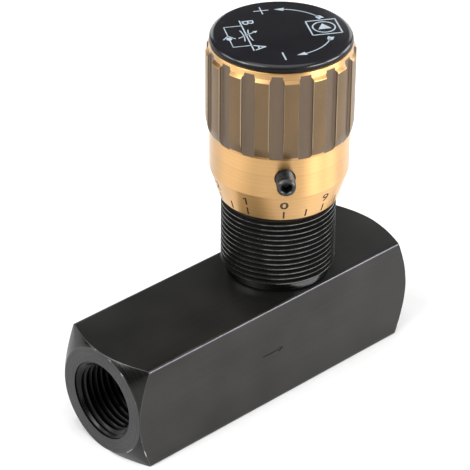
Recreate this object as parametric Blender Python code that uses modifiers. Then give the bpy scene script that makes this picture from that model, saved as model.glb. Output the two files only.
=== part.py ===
"""In-line one-way flow control valve with a panel neck and a rising adjusting knob.

The valve body lies along X with a threaded port at each end and stands on z = 0. The neck, the
spindle and the knob share one vertical axis at x = NECK_X. Units are metres, +Z is up.
"""

import math

import bmesh
import bpy
from mathutils import Matrix, Vector

MM = 0.001
GAP = 0.3 * MM  # clearance left between neighbouring pieces
MERGE = 0.001 * MM  # points closer than this are one point

# Facets round a full turn
LARGE = 48
MEDIUM = 36
SMALL = 24
TINY = 16
SEAL_SECTION = 6

# Valve body: a square bar whose ends are turned to a cone
BODY_LENGTH = 97.5 * MM
BODY_SIDE = 30 * MM
BODY_EDGE = 0.4 * MM
END_FACE_RADIUS = 14.9 * MM
END_CONE_LENGTH = 3.5 * MM  # measured at the bar's long edges
END_X = BODY_LENGTH / 2
PORT_Z = BODY_SIDE / 2

# Ports: G1/2 at both ends
PORT_RADIUS = 9.3 * MM
PORT_MOUTH_RADIUS = 10.9 * MM
PORT_DEPTH = 15.75 * MM
PORT_RELIEF_RADIUS = 10.6 * MM
PORT_RELIEF_LENGTH = 2.4 * MM
PORT_FLOOR_X = END_X - PORT_DEPTH

# Neck axis and the stepped cavity below it
NECK_X = 13.5 * MM
CAVITY_RADIUS = 11 * MM
CAVITY_FLOOR_Z = 12 * MM
CAVITY_MOUTH_RADIUS = 12.6 * MM
CAVITY_MOUTH_Z = 27.8 * MM
SEAT_POCKET_RADIUS = 6 * MM
SEAT_POCKET_Z = 8.3 * MM
SUMP_RADIUS = 4 * MM
SUMP_Z = 3 * MM

# Drillings
OUTLET_RADIUS = 5.5 * MM
OUTLET_Z = 17.75 * MM
FEED_RADIUS = 2.6 * MM  # slanted drilling from port A to the sump below the throttle seat
FEED_START_Z = 10 * MM
FEED_END_Z = 4.9 * MM
CHECK_Z = 19.3 * MM
CHECK_BORE_RADIUS = 4.75 * MM
CHECK_BORE_END_X = -7 * MM
CHECK_OUTLET_RADIUS = 3 * MM

# Bonnet: threaded neck M30 x 1.5 with a plain sleeve above it
NECK_RADIUS = 15 * MM
NECK_BASE_Z = BODY_SIDE + GAP
NECK_RELIEF_RADIUS = 14.1 * MM
NECK_RELIEF_TOP_Z = 32.3 * MM
NECK_TOP_Z = 53 * MM
NECK_TOP_CHAMFER = 1.5 * MM
SLEEVE_RADIUS = 11.6 * MM
SLEEVE_TOP_Z = 80 * MM
BONNET_FOOT_Z = 23.6 * MM
BONNET_FOOT_RADIUS = CAVITY_RADIUS - GAP
SEAL_RELIEF_RADIUS = 10.5 * MM
GUIDE_RADIUS = 4.9 * MM
SEAL_BORE_Z = 33.7 * MM
SEAL_BORE_TOP_Z = 47.8 * MM
SEAL_BORE_RADIUS = 6.3 * MM
SPINDLE_THREAD_RADIUS = 4.9 * MM  # M10 x 1
THREAD_TOP_Z = 62 * MM
SLEEVE_BORE_RADIUS = 7 * MM

# Throttle seat, throttle pin and the dowel that stops the pin turning
SEAT_TOP_Z = CAVITY_FLOOR_Z
SEAT_HOLE_RADIUS = 3.4 * MM
SEAT_CONE = 1 * MM
SEAL_FLOOR_GAP = 0.1 * MM
SEAL_SIDE_GAP = 0.25 * MM
PIN_NOSE_RADIUS = 3.1 * MM
PIN_NOSE_Z = 8.3 * MM
PIN_RADIUS = GUIDE_RADIUS - GAP
PIN_TOP_Z = 34 * MM
PIN_SEAT_LIFT = 0.15 * MM  # keeps the pin's cone one gap clear of the seat's cone
PIN_STROKE = 5 * MM
NOTCH_OFFSET = 1.86 * MM  # the V's edge, from the pin's axis, at the tip of the nose
NOTCH_TILT = math.radians(30)
DOWEL_RADIUS = 1 * MM
DOWEL_Z = 26.5 * MM
DOWEL_GROOVE_FLOOR = 3.3 * MM

# Throttle spindle: carries the pin on a button end and the knob on its upper stub
BUTTON_Z = 29.3 * MM
BUTTON_HEIGHT = 2 * MM
BUTTON_RADIUS = 2.6 * MM
BUTTON_NECK_RADIUS = 1.5 * MM
PISTON_RADIUS = SEAL_BORE_RADIUS - GAP
PISTON_Z = PIN_TOP_Z + GAP
PISTON_TOP_Z = 42.5 * MM
SEAL_GROOVE_RADIUS = 4.4 * MM
SEAL_GROOVE_Z = 36.4 * MM
SEAL_GROOVE_TOP_Z = 39.6 * MM
BACKUP_RING_GAP = 0.2 * MM
BACKUP_RING_HEIGHT = 0.9 * MM
SPINDLE_SHOULDER_Z = 88 * MM
STUB_RADIUS = 3.5 * MM
STUB_TOP_Z = 92.6 * MM
TAPPED_HOLE_RADIUS = 2.3 * MM
TAPPED_HOLE_Z = 87.5 * MM
DRIVE_PIN_RADIUS = 1.2 * MM
DRIVE_PIN_HALF_LENGTH = 7.5 * MM
DRIVE_PIN_Z = 85.6 * MM

# Adjusting knob: dial cone, plain band, fluted grip and turned shoulder
KNOB_FOOT_Z = 53.35 * MM
KNOB_FOOT_RADIUS = 15.95 * MM
BAND_Z = 61.2 * MM
BAND_RADIUS = 18.4 * MM
GRIP_Z = 72.6 * MM
GRIP_TAPER = 3.5 * MM
GRIP_TOP_Z = 95.2 * MM
RIDGE_RADIUS = 19.4 * MM
GROOVE_RADIUS = 18.5 * MM
FLUTES = 16
FLUTE_CUTTER_RADIUS = 2.3 * MM
FIRST_FLUTE_OFFSET = math.radians(-7.5)  # from the locking screw
SHOULDER_Z = 95.95 * MM
SHOULDER_RADIUS = 18.6 * MM
KNOB_TOP_Z = 97.7 * MM
KNOB_BORE_RADIUS = 12 * MM
WEB_Z = 86.6 * MM
HUB_Z = 84 * MM
HUB_RADIUS = 8.3 * MM
RECESS_Z = 93 * MM
RECESS_RADIUS = 14.5 * MM
DRAG_GROOVE_Z = 57.7 * MM
DRAG_GROOVE_RADIUS = 13.35 * MM
DRAG_GROOVE_HALF_WIDTH = 1.1 * MM

# Knob fastening and cap
WASHER_RADIUS = 5.2 * MM
WASHER_THICKNESS = 0.8 * MM
KNOB_SCREW_RADIUS = 2 * MM
KNOB_SCREW_HEAD_RADIUS = 4.25 * MM
KNOB_SCREW_HEAD_HEIGHT = 2.7 * MM
KNOB_SCREW_SOCKET_DEPTH = 1.6 * MM
CAP_Z = KNOB_TOP_Z + GAP
CAP_TOP_Z = 99.9 * MM
CAP_RADIUS = 18.5 * MM
CAP_EDGE = 1.2 * MM
CAP_FOOT_CHAMFER = 0.4 * MM
CAP_BOSS_Z = 94.6 * MM
CAP_BOSS_WALL = 1.6 * MM

# Locking screw M5, radial through the knob's plain band
LOCK_ANGLE = math.radians(-129.2)
LOCK_Z = 67.5 * MM
LOCK_SCREW_RADIUS = 2.5 * MM
LOCK_SCREW_TIP = 23.4 * MM  # distances from the knob's axis
LOCK_SCREW_FOOT = 13.6 * MM
LOCK_PAD_START = 12.1 * MM
LOCK_PAD_RADIUS = 2.3 * MM
LOCK_END_CHAMFER = 0.4 * MM
HEX_ACROSS_FLATS = 2.5 * MM
HEX_DEPTH = 2.5 * MM

# Check valve cartridge, along X in its own bore
CHECK_SEAT_X = GAP - PORT_FLOOR_X
CHECK_SEAT_LENGTH = 6 * MM
CHECK_SLEEVE_RADIUS = CHECK_BORE_RADIUS - GAP
CHECK_HOLE_RADIUS = 2.8 * MM
CHECK_CONE = 0.8 * MM
CHECK_SLOT_WIDTH = 1.2 * MM
CHECK_SLOT_DEPTH = 1.2 * MM
POPPET_RADIUS = 3.9 * MM
POPPET_TIP_RADIUS = 2.3 * MM
POPPET_AXIAL_GAP = 0.42 * MM
POPPET_BACK_X = -22 * MM
POPPET_BOSS_RADIUS = 2.1 * MM
POPPET_BOSS_X = -16.6 * MM
POPPET_STEM_RADIUS = 1.5 * MM
POPPET_STEM_X = -9.5 * MM
GUIDE_X = -13 * MM
GUIDE_NOTCHES = 3
GUIDE_NOTCH_RADIUS = 1.2 * MM
SPRING_MEAN_RADIUS = 2.9 * MM
SPRING_WIRE_RADIUS = 0.4 * MM
SPRING_TURNS = 5
SPRING_POINTS_PER_TURN = 14

# Seal rings: radius of the ring's centre line, radius of its section, height of its centre
BONNET_SEAL = (11.55 * MM, 0.8 * MM, 29 * MM)
SEAT_SEAL = (5.3 * MM, 0.45 * MM, 10.3 * MM)
SPINDLE_SEAL = (5.3 * MM, 0.8 * MM, 37.4 * MM)
DRAG_RING = (12.5 * MM, 0.75 * MM, DRAG_GROOVE_Z)


def clear_scene():
    for obj in list(bpy.data.objects):
        bpy.data.objects.remove(obj, do_unlink=True)


def new_collection(name):
    collection = bpy.data.collections.new(name)
    bpy.context.scene.collection.children.link(collection)
    return collection


clear_scene()
PARTS = new_collection("flow_control_valve")
CUTTERS = new_collection("cutters")


def new_material(name, colour, roughness, metallic):
    material = bpy.data.materials.new(name)
    material.use_nodes = True
    shader = material.node_tree.nodes["Principled BSDF"]
    shader.inputs["Base Color"].default_value = (*colour, 1.0)
    shader.inputs["Roughness"].default_value = roughness
    shader.inputs["Metallic"].default_value = metallic
    return material


def new_empty(name, location, rotation=(0, 0, 0), parent=None):
    empty = bpy.data.objects.new(name, None)
    empty.location = location
    empty.rotation_euler = rotation
    empty.parent = parent
    PARTS.objects.link(empty)
    return empty


def place(name, mesh, parent, colour, roughness, metallic, location=(0, 0, 0)):
    """Links a finished mesh as a named sub-part with a material of its own."""
    obj = bpy.data.objects.new(name, mesh)
    obj.location = location
    obj.parent = parent
    mesh.materials.append(new_material(name + "_finish", colour, roughness, metallic))
    PARTS.objects.link(obj)
    return obj


def add_cutter(name, mesh, parent, location=(0, 0, 0), rotation=(0, 0, 0)):
    cutter = bpy.data.objects.new(name, mesh)
    cutter.location = location
    cutter.rotation_euler = rotation
    cutter.parent = parent
    cutter.hide_render = True
    cutter.display_type = "WIRE"
    CUTTERS.objects.link(cutter)
    return cutter


def boolean(target, tool, operation="DIFFERENCE"):
    modifier = target.modifiers.new(operation.title() + " " + tool.name, "BOOLEAN")
    modifier.operation = operation
    modifier.object = tool


def profile_mesh(name, points, closed):
    """A wire outline in the XZ plane, for a Screw modifier; points are (radius, height)."""
    mesh = bpy.data.meshes.new(name)
    count = len(points)
    edges = [(i, i + 1) for i in range(count - 1)]
    if closed:
        edges.append((count - 1, 0))
    mesh.from_pydata([(radius, 0, height) for radius, height in points], edges, [])
    return mesh


def add_screw(obj, facets):
    screw = obj.modifiers.new("Turn", "SCREW")
    screw.steps = facets
    screw.render_steps = facets
    screw.use_merge_vertices = True
    screw.merge_threshold = MERGE
    screw.use_smooth_shade = True


def turned(name, points, facets, parent, finish, closed=False):
    """A sub-part turned about its local Z. The outline runs down its outer side."""
    obj = place(name, profile_mesh(name, points, closed), parent, *finish)
    add_screw(obj, facets)
    return obj


def turned_cutter(name, points, facets, parent, rotation=(0, 0, 0)):
    cutter = add_cutter(name, profile_mesh(name, points, False), parent, rotation=rotation)
    add_screw(cutter, facets)
    return cutter


def cylinder_mesh(name, radius, low, high, facets):
    """A closed cylinder on the Z axis from height low to height high."""
    bm = bmesh.new()
    middle = Matrix.Translation((0, 0, (low + high) / 2))
    bmesh.ops.create_cone(
        bm, cap_ends=True, segments=facets, radius1=radius, radius2=radius,
        depth=high - low, matrix=middle,
    )
    mesh = bpy.data.meshes.new(name)
    bm.to_mesh(mesh)
    bm.free()
    return mesh


def box_mesh(name, low, high):
    bm = bmesh.new()
    bmesh.ops.create_cube(bm, size=1)
    size = Vector(high) - Vector(low)
    bmesh.ops.scale(bm, vec=size, verts=bm.verts)
    bmesh.ops.translate(bm, vec=Vector(low) + size / 2, verts=bm.verts)
    mesh = bpy.data.meshes.new(name)
    bm.to_mesh(mesh)
    bm.free()
    return mesh


def torus_mesh(name, ring_radius, section_radius, height, ring_facets, section_facets):
    """A seal ring lying flat at a height, as a section swept round the Z axis."""
    bm = bmesh.new()
    lift = Matrix.Translation((ring_radius, 0, height)) @ Matrix.Rotation(math.pi / 2, 4, "X")
    section = bmesh.ops.create_circle(
        bm, cap_ends=False, segments=section_facets, radius=section_radius, matrix=lift
    )
    bmesh.ops.spin(
        bm, geom=bm.edges[:] + section["verts"], cent=(0, 0, 0), axis=(0, 0, 1),
        angle=2 * math.pi, steps=ring_facets, use_merge=True,
    )
    bmesh.ops.remove_doubles(bm, verts=bm.verts, dist=MERGE)
    bmesh.ops.recalc_face_normals(bm, faces=bm.faces)
    mesh = bpy.data.meshes.new(name)
    bm.to_mesh(mesh)
    bm.free()
    mesh.shade_smooth()
    return mesh


def shade(obj):
    """Smooth round faces, with the corners of the end faces kept sharp."""
    obj.data.shade_smooth()
    obj.data.set_sharp_from_angle(angle=math.radians(30))


BLACK_STEEL = ((0.05, 0.05, 0.052), 0.42, 0.9)
NECK_STEEL = ((0.03, 0.03, 0.032), 0.35, 0.9)
GOLD = ((0.75, 0.52, 0.22), 0.3, 1.0)
BLACK_PLASTIC = ((0.02, 0.02, 0.022), 0.3, 0.0)
BRIGHT_STEEL = ((0.6, 0.6, 0.62), 0.3, 1.0)
SPRING_STEEL = ((0.5, 0.5, 0.5), 0.25, 1.0)
SCREW_BLACK = ((0.025, 0.025, 0.027), 0.4, 0.8)
BRASS = ((0.72, 0.52, 0.2), 0.35, 1.0)
RUBBER = ((0.015, 0.015, 0.015), 0.7, 0.0)
WHITE_PTFE = ((0.8, 0.8, 0.78), 0.5, 0.0)

ALONG_X = (0, math.pi / 2, 0)  # turns a piece's local Z onto world X
AGAINST_X = (0, -math.pi / 2, 0)

NECK_AXIS = new_empty("neck_axis", (NECK_X, 0, 0))
SPINDLE_AXIS = new_empty("spindle_axis", (NECK_X, 0, 0))
LOCK_AXIS = new_empty(
    "lock_screw_axis", (0, 0, LOCK_Z), (0, math.pi / 2, LOCK_ANGLE), parent=SPINDLE_AXIS
)
CHECK_AXIS = new_empty("check_axis", (0, 0, CHECK_Z), ALONG_X)


def build_valve_body():
    """Square bar with turned cone ends, two ports, the neck cavity and the inner drillings."""
    half = BODY_SIDE / 2
    mesh = box_mesh("valve_body", (-END_X, -half, 0), (END_X, half, BODY_SIDE))
    bm = bmesh.new()
    bm.from_mesh(mesh)
    long_edges = [e for e in bm.edges if abs(e.verts[0].co.x - e.verts[1].co.x) > half]
    bmesh.ops.bevel(bm, geom=long_edges, offset=BODY_EDGE, segments=1, affect="EDGES")
    bm.to_mesh(mesh)
    bm.free()
    body = place("valve_body", mesh, None, *BLACK_STEEL)
    boolean(body, end_cone_envelope(), "INTERSECT")
    for name, side in (("port_a_cutter", -1), ("port_b_cutter", 1)):
        boolean(body, port_cutter(name, side))
    boolean(body, cavity_cutter())
    for cutter in drilling_cutters():
        boolean(body, cutter)
    return body


def end_cone_envelope():
    corner = BODY_SIDE / 2 * math.sqrt(2)
    widest = corner + 1 * MM
    slope = END_CONE_LENGTH / (corner - END_FACE_RADIUS)
    shoulder = END_X - slope * (widest - END_FACE_RADIUS)
    outline = [
        (0, END_X), (END_FACE_RADIUS, END_X), (widest, shoulder),
        (widest, -shoulder), (END_FACE_RADIUS, -END_X), (0, -END_X),
    ]
    envelope = turned_cutter("end_cone_envelope", outline, LARGE, None, ALONG_X)
    envelope.location = (0, 0, PORT_Z)
    return envelope


def port_cutter(name, side):
    """Countersunk threaded bore with a run-out groove at its floor; local Z leaves the mouth."""
    mouth = PORT_MOUTH_RADIUS - PORT_RADIUS
    outside = 1 * MM
    relief = PORT_RELIEF_LENGTH
    ramp = PORT_RELIEF_RADIUS - PORT_RADIUS
    outline = [
        (0, outside), (PORT_MOUTH_RADIUS + outside, outside), (PORT_RADIUS, -mouth),
        (PORT_RADIUS, relief - PORT_DEPTH), (PORT_RELIEF_RADIUS, relief - PORT_DEPTH - ramp),
        (PORT_RELIEF_RADIUS, -PORT_DEPTH), (0, -PORT_DEPTH),
    ]
    cutter = turned_cutter(name, outline, MEDIUM, None, (0, side * math.pi / 2, 0))
    cutter.location = (side * END_X, 0, PORT_Z)
    return cutter


def cavity_cutter():
    above = BODY_SIDE + 1 * MM
    outline = [
        (0, above), (CAVITY_MOUTH_RADIUS, above), (CAVITY_MOUTH_RADIUS, CAVITY_MOUTH_Z),
        (CAVITY_RADIUS, CAVITY_MOUTH_Z), (CAVITY_RADIUS, CAVITY_FLOOR_Z),
        (SEAT_POCKET_RADIUS, CAVITY_FLOOR_Z), (SEAT_POCKET_RADIUS, SEAT_POCKET_Z),
        (SUMP_RADIUS, SEAT_POCKET_Z), (SUMP_RADIUS, SUMP_Z), (0, SUMP_Z),
    ]
    return turned_cutter("cavity_cutter", outline, MEDIUM, NECK_AXIS)


def drilling_cutters():
    """Outlet to port B, check bore with its outlet, and the slanted feed to the sump."""
    overrun = 1 * MM
    step = CHECK_BORE_END_X
    level = (
        ("outlet_cutter", OUTLET_RADIUS, NECK_X, PORT_FLOOR_X + overrun, OUTLET_Z),
        ("check_bore_cutter", CHECK_BORE_RADIUS, -PORT_FLOOR_X - overrun, step, CHECK_Z),
        ("check_outlet_cutter", CHECK_OUTLET_RADIUS, step - overrun, NECK_X / 2, CHECK_Z),
    )
    cutters = []
    for name, radius, start, end, height in level:
        mesh = cylinder_mesh(name, radius, start, end, SMALL)
        cutters.append(add_cutter(name, mesh, None, (0, 0, height), ALONG_X))
    run = NECK_X + PORT_FLOOR_X
    fall = FEED_START_Z - FEED_END_Z
    slant = math.atan2(fall, run)
    mesh = cylinder_mesh("feed_cutter", FEED_RADIUS, -overrun, math.hypot(run, fall), TINY)
    start = (-PORT_FLOOR_X, 0, FEED_START_Z)
    cutters.append(add_cutter("feed_cutter", mesh, None, start, (0, math.pi / 2 + slant, 0)))
    return cutters


def build_bonnet():
    """Threaded neck screwed into the body, with the sleeve that the knob rises on."""
    lead = 0.6 * MM
    ramp = NECK_RADIUS - NECK_RELIEF_RADIUS
    outline = [
        (0, SLEEVE_TOP_Z), (SLEEVE_RADIUS - lead, SLEEVE_TOP_Z),
        (SLEEVE_RADIUS, SLEEVE_TOP_Z - lead),
        (SLEEVE_RADIUS, NECK_TOP_Z), (NECK_RADIUS - NECK_TOP_CHAMFER, NECK_TOP_Z),
        (NECK_RADIUS, NECK_TOP_Z - NECK_TOP_CHAMFER), (NECK_RADIUS, NECK_RELIEF_TOP_Z + ramp),
        (NECK_RELIEF_RADIUS, NECK_RELIEF_TOP_Z), (NECK_RELIEF_RADIUS, NECK_BASE_Z),
        (SEAL_RELIEF_RADIUS, NECK_BASE_Z), (SEAL_RELIEF_RADIUS, CAVITY_MOUTH_Z),
        (BONNET_FOOT_RADIUS, CAVITY_MOUTH_Z - lead), (BONNET_FOOT_RADIUS, BONNET_FOOT_Z),
        (0, BONNET_FOOT_Z),
    ]
    bonnet = turned("bonnet", outline, MEDIUM, NECK_AXIS, NECK_STEEL)
    outside = 1 * MM
    thread = SPINDLE_THREAD_RADIUS + GAP
    bore = [
        (0, SLEEVE_TOP_Z + outside), (SLEEVE_BORE_RADIUS, SLEEVE_TOP_Z + outside),
        (SLEEVE_BORE_RADIUS, THREAD_TOP_Z), (thread, THREAD_TOP_Z), (thread, SEAL_BORE_TOP_Z),
        (SEAL_BORE_RADIUS, SEAL_BORE_TOP_Z), (SEAL_BORE_RADIUS, SEAL_BORE_Z),
        (GUIDE_RADIUS, SEAL_BORE_Z), (GUIDE_RADIUS, BONNET_FOOT_Z - outside),
        (0, BONNET_FOOT_Z - outside),
    ]
    boolean(bonnet, turned_cutter("bonnet_bore_cutter", bore, SMALL, NECK_AXIS))
    hole = cylinder_mesh(
        "dowel_hole_cutter", DOWEL_RADIUS + GAP, GUIDE_RADIUS / 2, CAVITY_RADIUS + outside, TINY
    )
    dowel_place = (0, 0, DOWEL_Z)
    boolean(bonnet, add_cutter("dowel_hole_cutter", hole, NECK_AXIS, dowel_place, AGAINST_X))
    return bonnet


def build_throttle_seat():
    """Hard ring pressed into the cavity floor; its coned hole is what the pin closes."""
    outer = SEAT_POCKET_RADIUS - GAP
    foot = SEAT_POCKET_Z + GAP
    ring_radius, section, height = SEAT_SEAL
    groove = ring_radius - section - SEAL_FLOOR_GAP
    half_groove = section + SEAL_SIDE_GAP
    outline = [
        (outer, SEAT_TOP_Z), (outer, height + half_groove), (groove, height + half_groove),
        (groove, height - half_groove), (outer, height - half_groove), (outer, foot),
        (SEAT_HOLE_RADIUS, foot), (SEAT_HOLE_RADIUS, SEAT_TOP_Z - SEAT_CONE),
        (SEAT_HOLE_RADIUS + SEAT_CONE, SEAT_TOP_Z),
    ]
    return turned("throttle_seat", outline, SMALL, NECK_AXIS, BRIGHT_STEEL, closed=True)


def build_throttle_pin():
    """Coned pin with a metering notch, a T-slot for the spindle's button and a dowel groove."""
    cone_foot = SEAT_TOP_Z - SEAT_CONE + PIN_SEAT_LIFT
    cone_top = cone_foot + PIN_RADIUS - PIN_NOSE_RADIUS
    outline = [
        (0, PIN_TOP_Z), (PIN_RADIUS, PIN_TOP_Z), (PIN_RADIUS, cone_top),
        (PIN_NOSE_RADIUS, cone_foot), (PIN_NOSE_RADIUS, PIN_NOSE_Z), (0, PIN_NOSE_Z),
    ]
    pin = turned("throttle_pin", outline, SMALL, SPINDLE_AXIS, BRIGHT_STEEL)
    outside = PIN_RADIUS + 1 * MM
    button = BUTTON_RADIUS + GAP
    neck = BUTTON_NECK_RADIUS + GAP
    button_top = BUTTON_Z + BUTTON_HEIGHT + GAP
    groove = DOWEL_RADIUS + GAP
    boxes = (
        ("button_slot_cutter", (-button, -button, BUTTON_Z - GAP), (outside, button, button_top)),
        ("neck_slot_cutter", (-neck, -neck, BUTTON_Z), (outside, neck, PIN_TOP_Z + 1 * MM)),
        ("dowel_groove_cutter", (-outside, -groove, DOWEL_Z - PIN_STROKE - groove),
         (-DOWEL_GROOVE_FLOOR, groove, DOWEL_Z + groove)),
    )
    for name, low, high in boxes:
        boolean(pin, add_cutter(name, box_mesh(name, low, high), SPINDLE_AXIS))
    boolean(pin, notch_cutter())
    return pin


def notch_cutter():
    """A square bar set on edge and tilted, which leaves a V that deepens towards the nose."""
    side = 2 * PIN_NOSE_RADIUS
    mesh = box_mesh("notch_cutter", (0, 0, -side), (side, side, side))
    mesh.transform(Matrix.Rotation(-math.pi / 4, 4, "Z"))
    location = (NOTCH_OFFSET, 0, PIN_NOSE_Z)
    return add_cutter("notch_cutter", mesh, SPINDLE_AXIS, location, (0, NOTCH_TILT, 0))


def build_anti_turn_dowel():
    inner = DOWEL_GROOVE_FLOOR + GAP
    outer = BONNET_FOOT_RADIUS - GAP
    mesh = cylinder_mesh("anti_turn_dowel", DOWEL_RADIUS, inner, outer, TINY)
    dowel = place("anti_turn_dowel", mesh, NECK_AXIS, *BRIGHT_STEEL, location=(0, 0, DOWEL_Z))
    dowel.rotation_euler = AGAINST_X
    shade(dowel)
    return dowel


def build_throttle_spindle():
    """Screwed spindle: button end, sealed piston, thread, plain shank and tapped upper stub."""
    chamfer = 0.3 * MM
    outline = [
        (0, TAPPED_HOLE_Z), (TAPPED_HOLE_RADIUS, TAPPED_HOLE_Z), (TAPPED_HOLE_RADIUS, STUB_TOP_Z),
        (STUB_RADIUS - chamfer, STUB_TOP_Z), (STUB_RADIUS, STUB_TOP_Z - chamfer),
        (STUB_RADIUS, SPINDLE_SHOULDER_Z), (SPINDLE_THREAD_RADIUS, SPINDLE_SHOULDER_Z),
        (SPINDLE_THREAD_RADIUS, PISTON_TOP_Z), (PISTON_RADIUS, PISTON_TOP_Z),
        (PISTON_RADIUS, SEAL_GROOVE_TOP_Z), (SEAL_GROOVE_RADIUS, SEAL_GROOVE_TOP_Z),
        (SEAL_GROOVE_RADIUS, SEAL_GROOVE_Z), (PISTON_RADIUS, SEAL_GROOVE_Z),
        (PISTON_RADIUS, PISTON_Z), (BUTTON_NECK_RADIUS, PISTON_Z),
        (BUTTON_NECK_RADIUS, BUTTON_Z + BUTTON_HEIGHT), (BUTTON_RADIUS, BUTTON_Z + BUTTON_HEIGHT),
        (BUTTON_RADIUS, BUTTON_Z), (0, BUTTON_Z),
    ]
    spindle = turned("throttle_spindle", outline, SMALL, SPINDLE_AXIS, BRIGHT_STEEL)
    reach = SPINDLE_THREAD_RADIUS + 1 * MM
    hole = cylinder_mesh("drive_hole_cutter", DRIVE_PIN_RADIUS + GAP, -reach, reach, TINY)
    pin_place = (0, 0, DRIVE_PIN_Z)
    boolean(spindle, add_cutter("drive_hole_cutter", hole, SPINDLE_AXIS, pin_place, ALONG_X))
    return spindle


def build_spindle_backup_ring():
    high = SEAL_GROOVE_TOP_Z - BACKUP_RING_GAP
    low = high - BACKUP_RING_HEIGHT
    inner = SEAL_GROOVE_RADIUS + BACKUP_RING_GAP
    outer = SEAL_BORE_RADIUS - BACKUP_RING_GAP
    outline = [(outer, high), (outer, low), (inner, low), (inner, high)]
    return turned("spindle_backup_ring", outline, SMALL, SPINDLE_AXIS, WHITE_PTFE, closed=True)


def build_seal_rings():
    """The rubber rings: two static, one on the spindle and one that drags on the sleeve."""
    rings = (
        ("bonnet_oring", BONNET_SEAL, NECK_AXIS),
        ("seat_oring", SEAT_SEAL, NECK_AXIS),
        ("spindle_oring", SPINDLE_SEAL, SPINDLE_AXIS),
        ("knob_oring", DRAG_RING, SPINDLE_AXIS),
    )
    for name, (ring_radius, section_radius, height), axis in rings:
        mesh = torus_mesh(name, ring_radius, section_radius, height, SMALL, SEAL_SECTION)
        place(name, mesh, axis, *RUBBER)


def build_adjusting_knob():
    """Aluminium knob: dial cone, plain band, fluted grip, and a hub that sits on the spindle."""
    lip = 0.3 * MM
    outline = [
        (0, KNOB_TOP_Z), (BAND_RADIUS - lip, KNOB_TOP_Z), (BAND_RADIUS, KNOB_TOP_Z - lip),
        (SHOULDER_RADIUS, SHOULDER_Z), (RIDGE_RADIUS, GRIP_TOP_Z),
        (RIDGE_RADIUS, GRIP_Z + GRIP_TAPER), (GROOVE_RADIUS, GRIP_Z), (BAND_RADIUS, GRIP_Z),
        (BAND_RADIUS, BAND_Z), (KNOB_FOOT_RADIUS, KNOB_FOOT_Z), (0, KNOB_FOOT_Z),
    ]
    knob = turned("adjusting_knob", outline, LARGE, SPINDLE_AXIS, GOLD)
    for cutter in knob_cutters():
        boolean(knob, cutter)
    return knob


def knob_cutters():
    outside = 1 * MM
    shank = SPINDLE_THREAD_RADIUS + GAP
    stub = STUB_RADIUS + GAP
    groove_low = DRAG_GROOVE_Z - DRAG_GROOVE_HALF_WIDTH
    groove_high = DRAG_GROOVE_Z + DRAG_GROOVE_HALF_WIDTH
    bore = [
        (0, SPINDLE_SHOULDER_Z + GAP), (shank, SPINDLE_SHOULDER_Z + GAP), (shank, HUB_Z),
        (HUB_RADIUS, HUB_Z), (HUB_RADIUS, WEB_Z), (KNOB_BORE_RADIUS, WEB_Z),
        (KNOB_BORE_RADIUS, groove_high), (DRAG_GROOVE_RADIUS, groove_high),
        (DRAG_GROOVE_RADIUS, groove_low), (KNOB_BORE_RADIUS, groove_low),
        (KNOB_BORE_RADIUS, KNOB_FOOT_Z - outside), (0, KNOB_FOOT_Z - outside),
    ]
    recess = [
        (0, KNOB_TOP_Z + outside), (RECESS_RADIUS, KNOB_TOP_Z + outside),
        (RECESS_RADIUS, RECESS_Z), (stub, RECESS_Z), (stub, SPINDLE_SHOULDER_Z - outside),
        (0, SPINDLE_SHOULDER_Z - outside),
    ]
    slot_half = DRIVE_PIN_RADIUS + GAP
    slot_reach = DRIVE_PIN_HALF_LENGTH + 2 * MM
    slot = box_mesh(
        "drive_slot_cutter", (-slot_reach, -slot_half, HUB_Z - outside),
        (slot_reach, slot_half, DRIVE_PIN_Z + slot_half),
    )
    hole = cylinder_mesh(
        "lock_hole_cutter", LOCK_SCREW_RADIUS + GAP, SLEEVE_RADIUS, BAND_RADIUS + outside, TINY
    )
    return (
        turned_cutter("knob_bore_cutter", bore, MEDIUM, SPINDLE_AXIS),
        turned_cutter("knob_recess_cutter", recess, MEDIUM, SPINDLE_AXIS),
        add_cutter("drive_slot_cutter", slot, SPINDLE_AXIS),
        add_cutter("lock_hole_cutter", hole, LOCK_AXIS),
        flute_cutter(),
    )


def flute_cutter():
    """Sixteen round bars spaced about the grip, the first beside the locking screw."""
    bm = bmesh.new()
    centre = GROOVE_RADIUS + FLUTE_CUTTER_RADIUS
    low = GRIP_Z - 1 * MM
    high = KNOB_TOP_Z + 1 * MM
    for index in range(FLUTES):
        turn = Matrix.Rotation(LOCK_ANGLE + FIRST_FLUTE_OFFSET + index * 2 * math.pi / FLUTES, 4, "Z")
        matrix = turn @ Matrix.Translation((centre, 0, (low + high) / 2))
        bmesh.ops.create_cone(
            bm, cap_ends=True, segments=TINY, radius1=FLUTE_CUTTER_RADIUS,
            radius2=FLUTE_CUTTER_RADIUS, depth=high - low, matrix=matrix,
        )
    mesh = bpy.data.meshes.new("flute_cutter")
    bm.to_mesh(mesh)
    bm.free()
    return add_cutter("flute_cutter", mesh, SPINDLE_AXIS)


def build_knob_drive_pin():
    mesh = cylinder_mesh(
        "knob_drive_pin", DRIVE_PIN_RADIUS, -DRIVE_PIN_HALF_LENGTH, DRIVE_PIN_HALF_LENGTH, TINY
    )
    pin = place("knob_drive_pin", mesh, SPINDLE_AXIS, *BRIGHT_STEEL, location=(0, 0, DRIVE_PIN_Z))
    pin.rotation_euler = ALONG_X
    shade(pin)
    return pin


def build_knob_washer():
    low = RECESS_Z + GAP
    high = low + WASHER_THICKNESS
    inner = KNOB_SCREW_RADIUS + GAP
    outline = [(WASHER_RADIUS, high), (WASHER_RADIUS, low), (inner, low), (inner, high)]
    return turned("knob_washer", outline, SMALL, SPINDLE_AXIS, BRIGHT_STEEL, closed=True)


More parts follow.
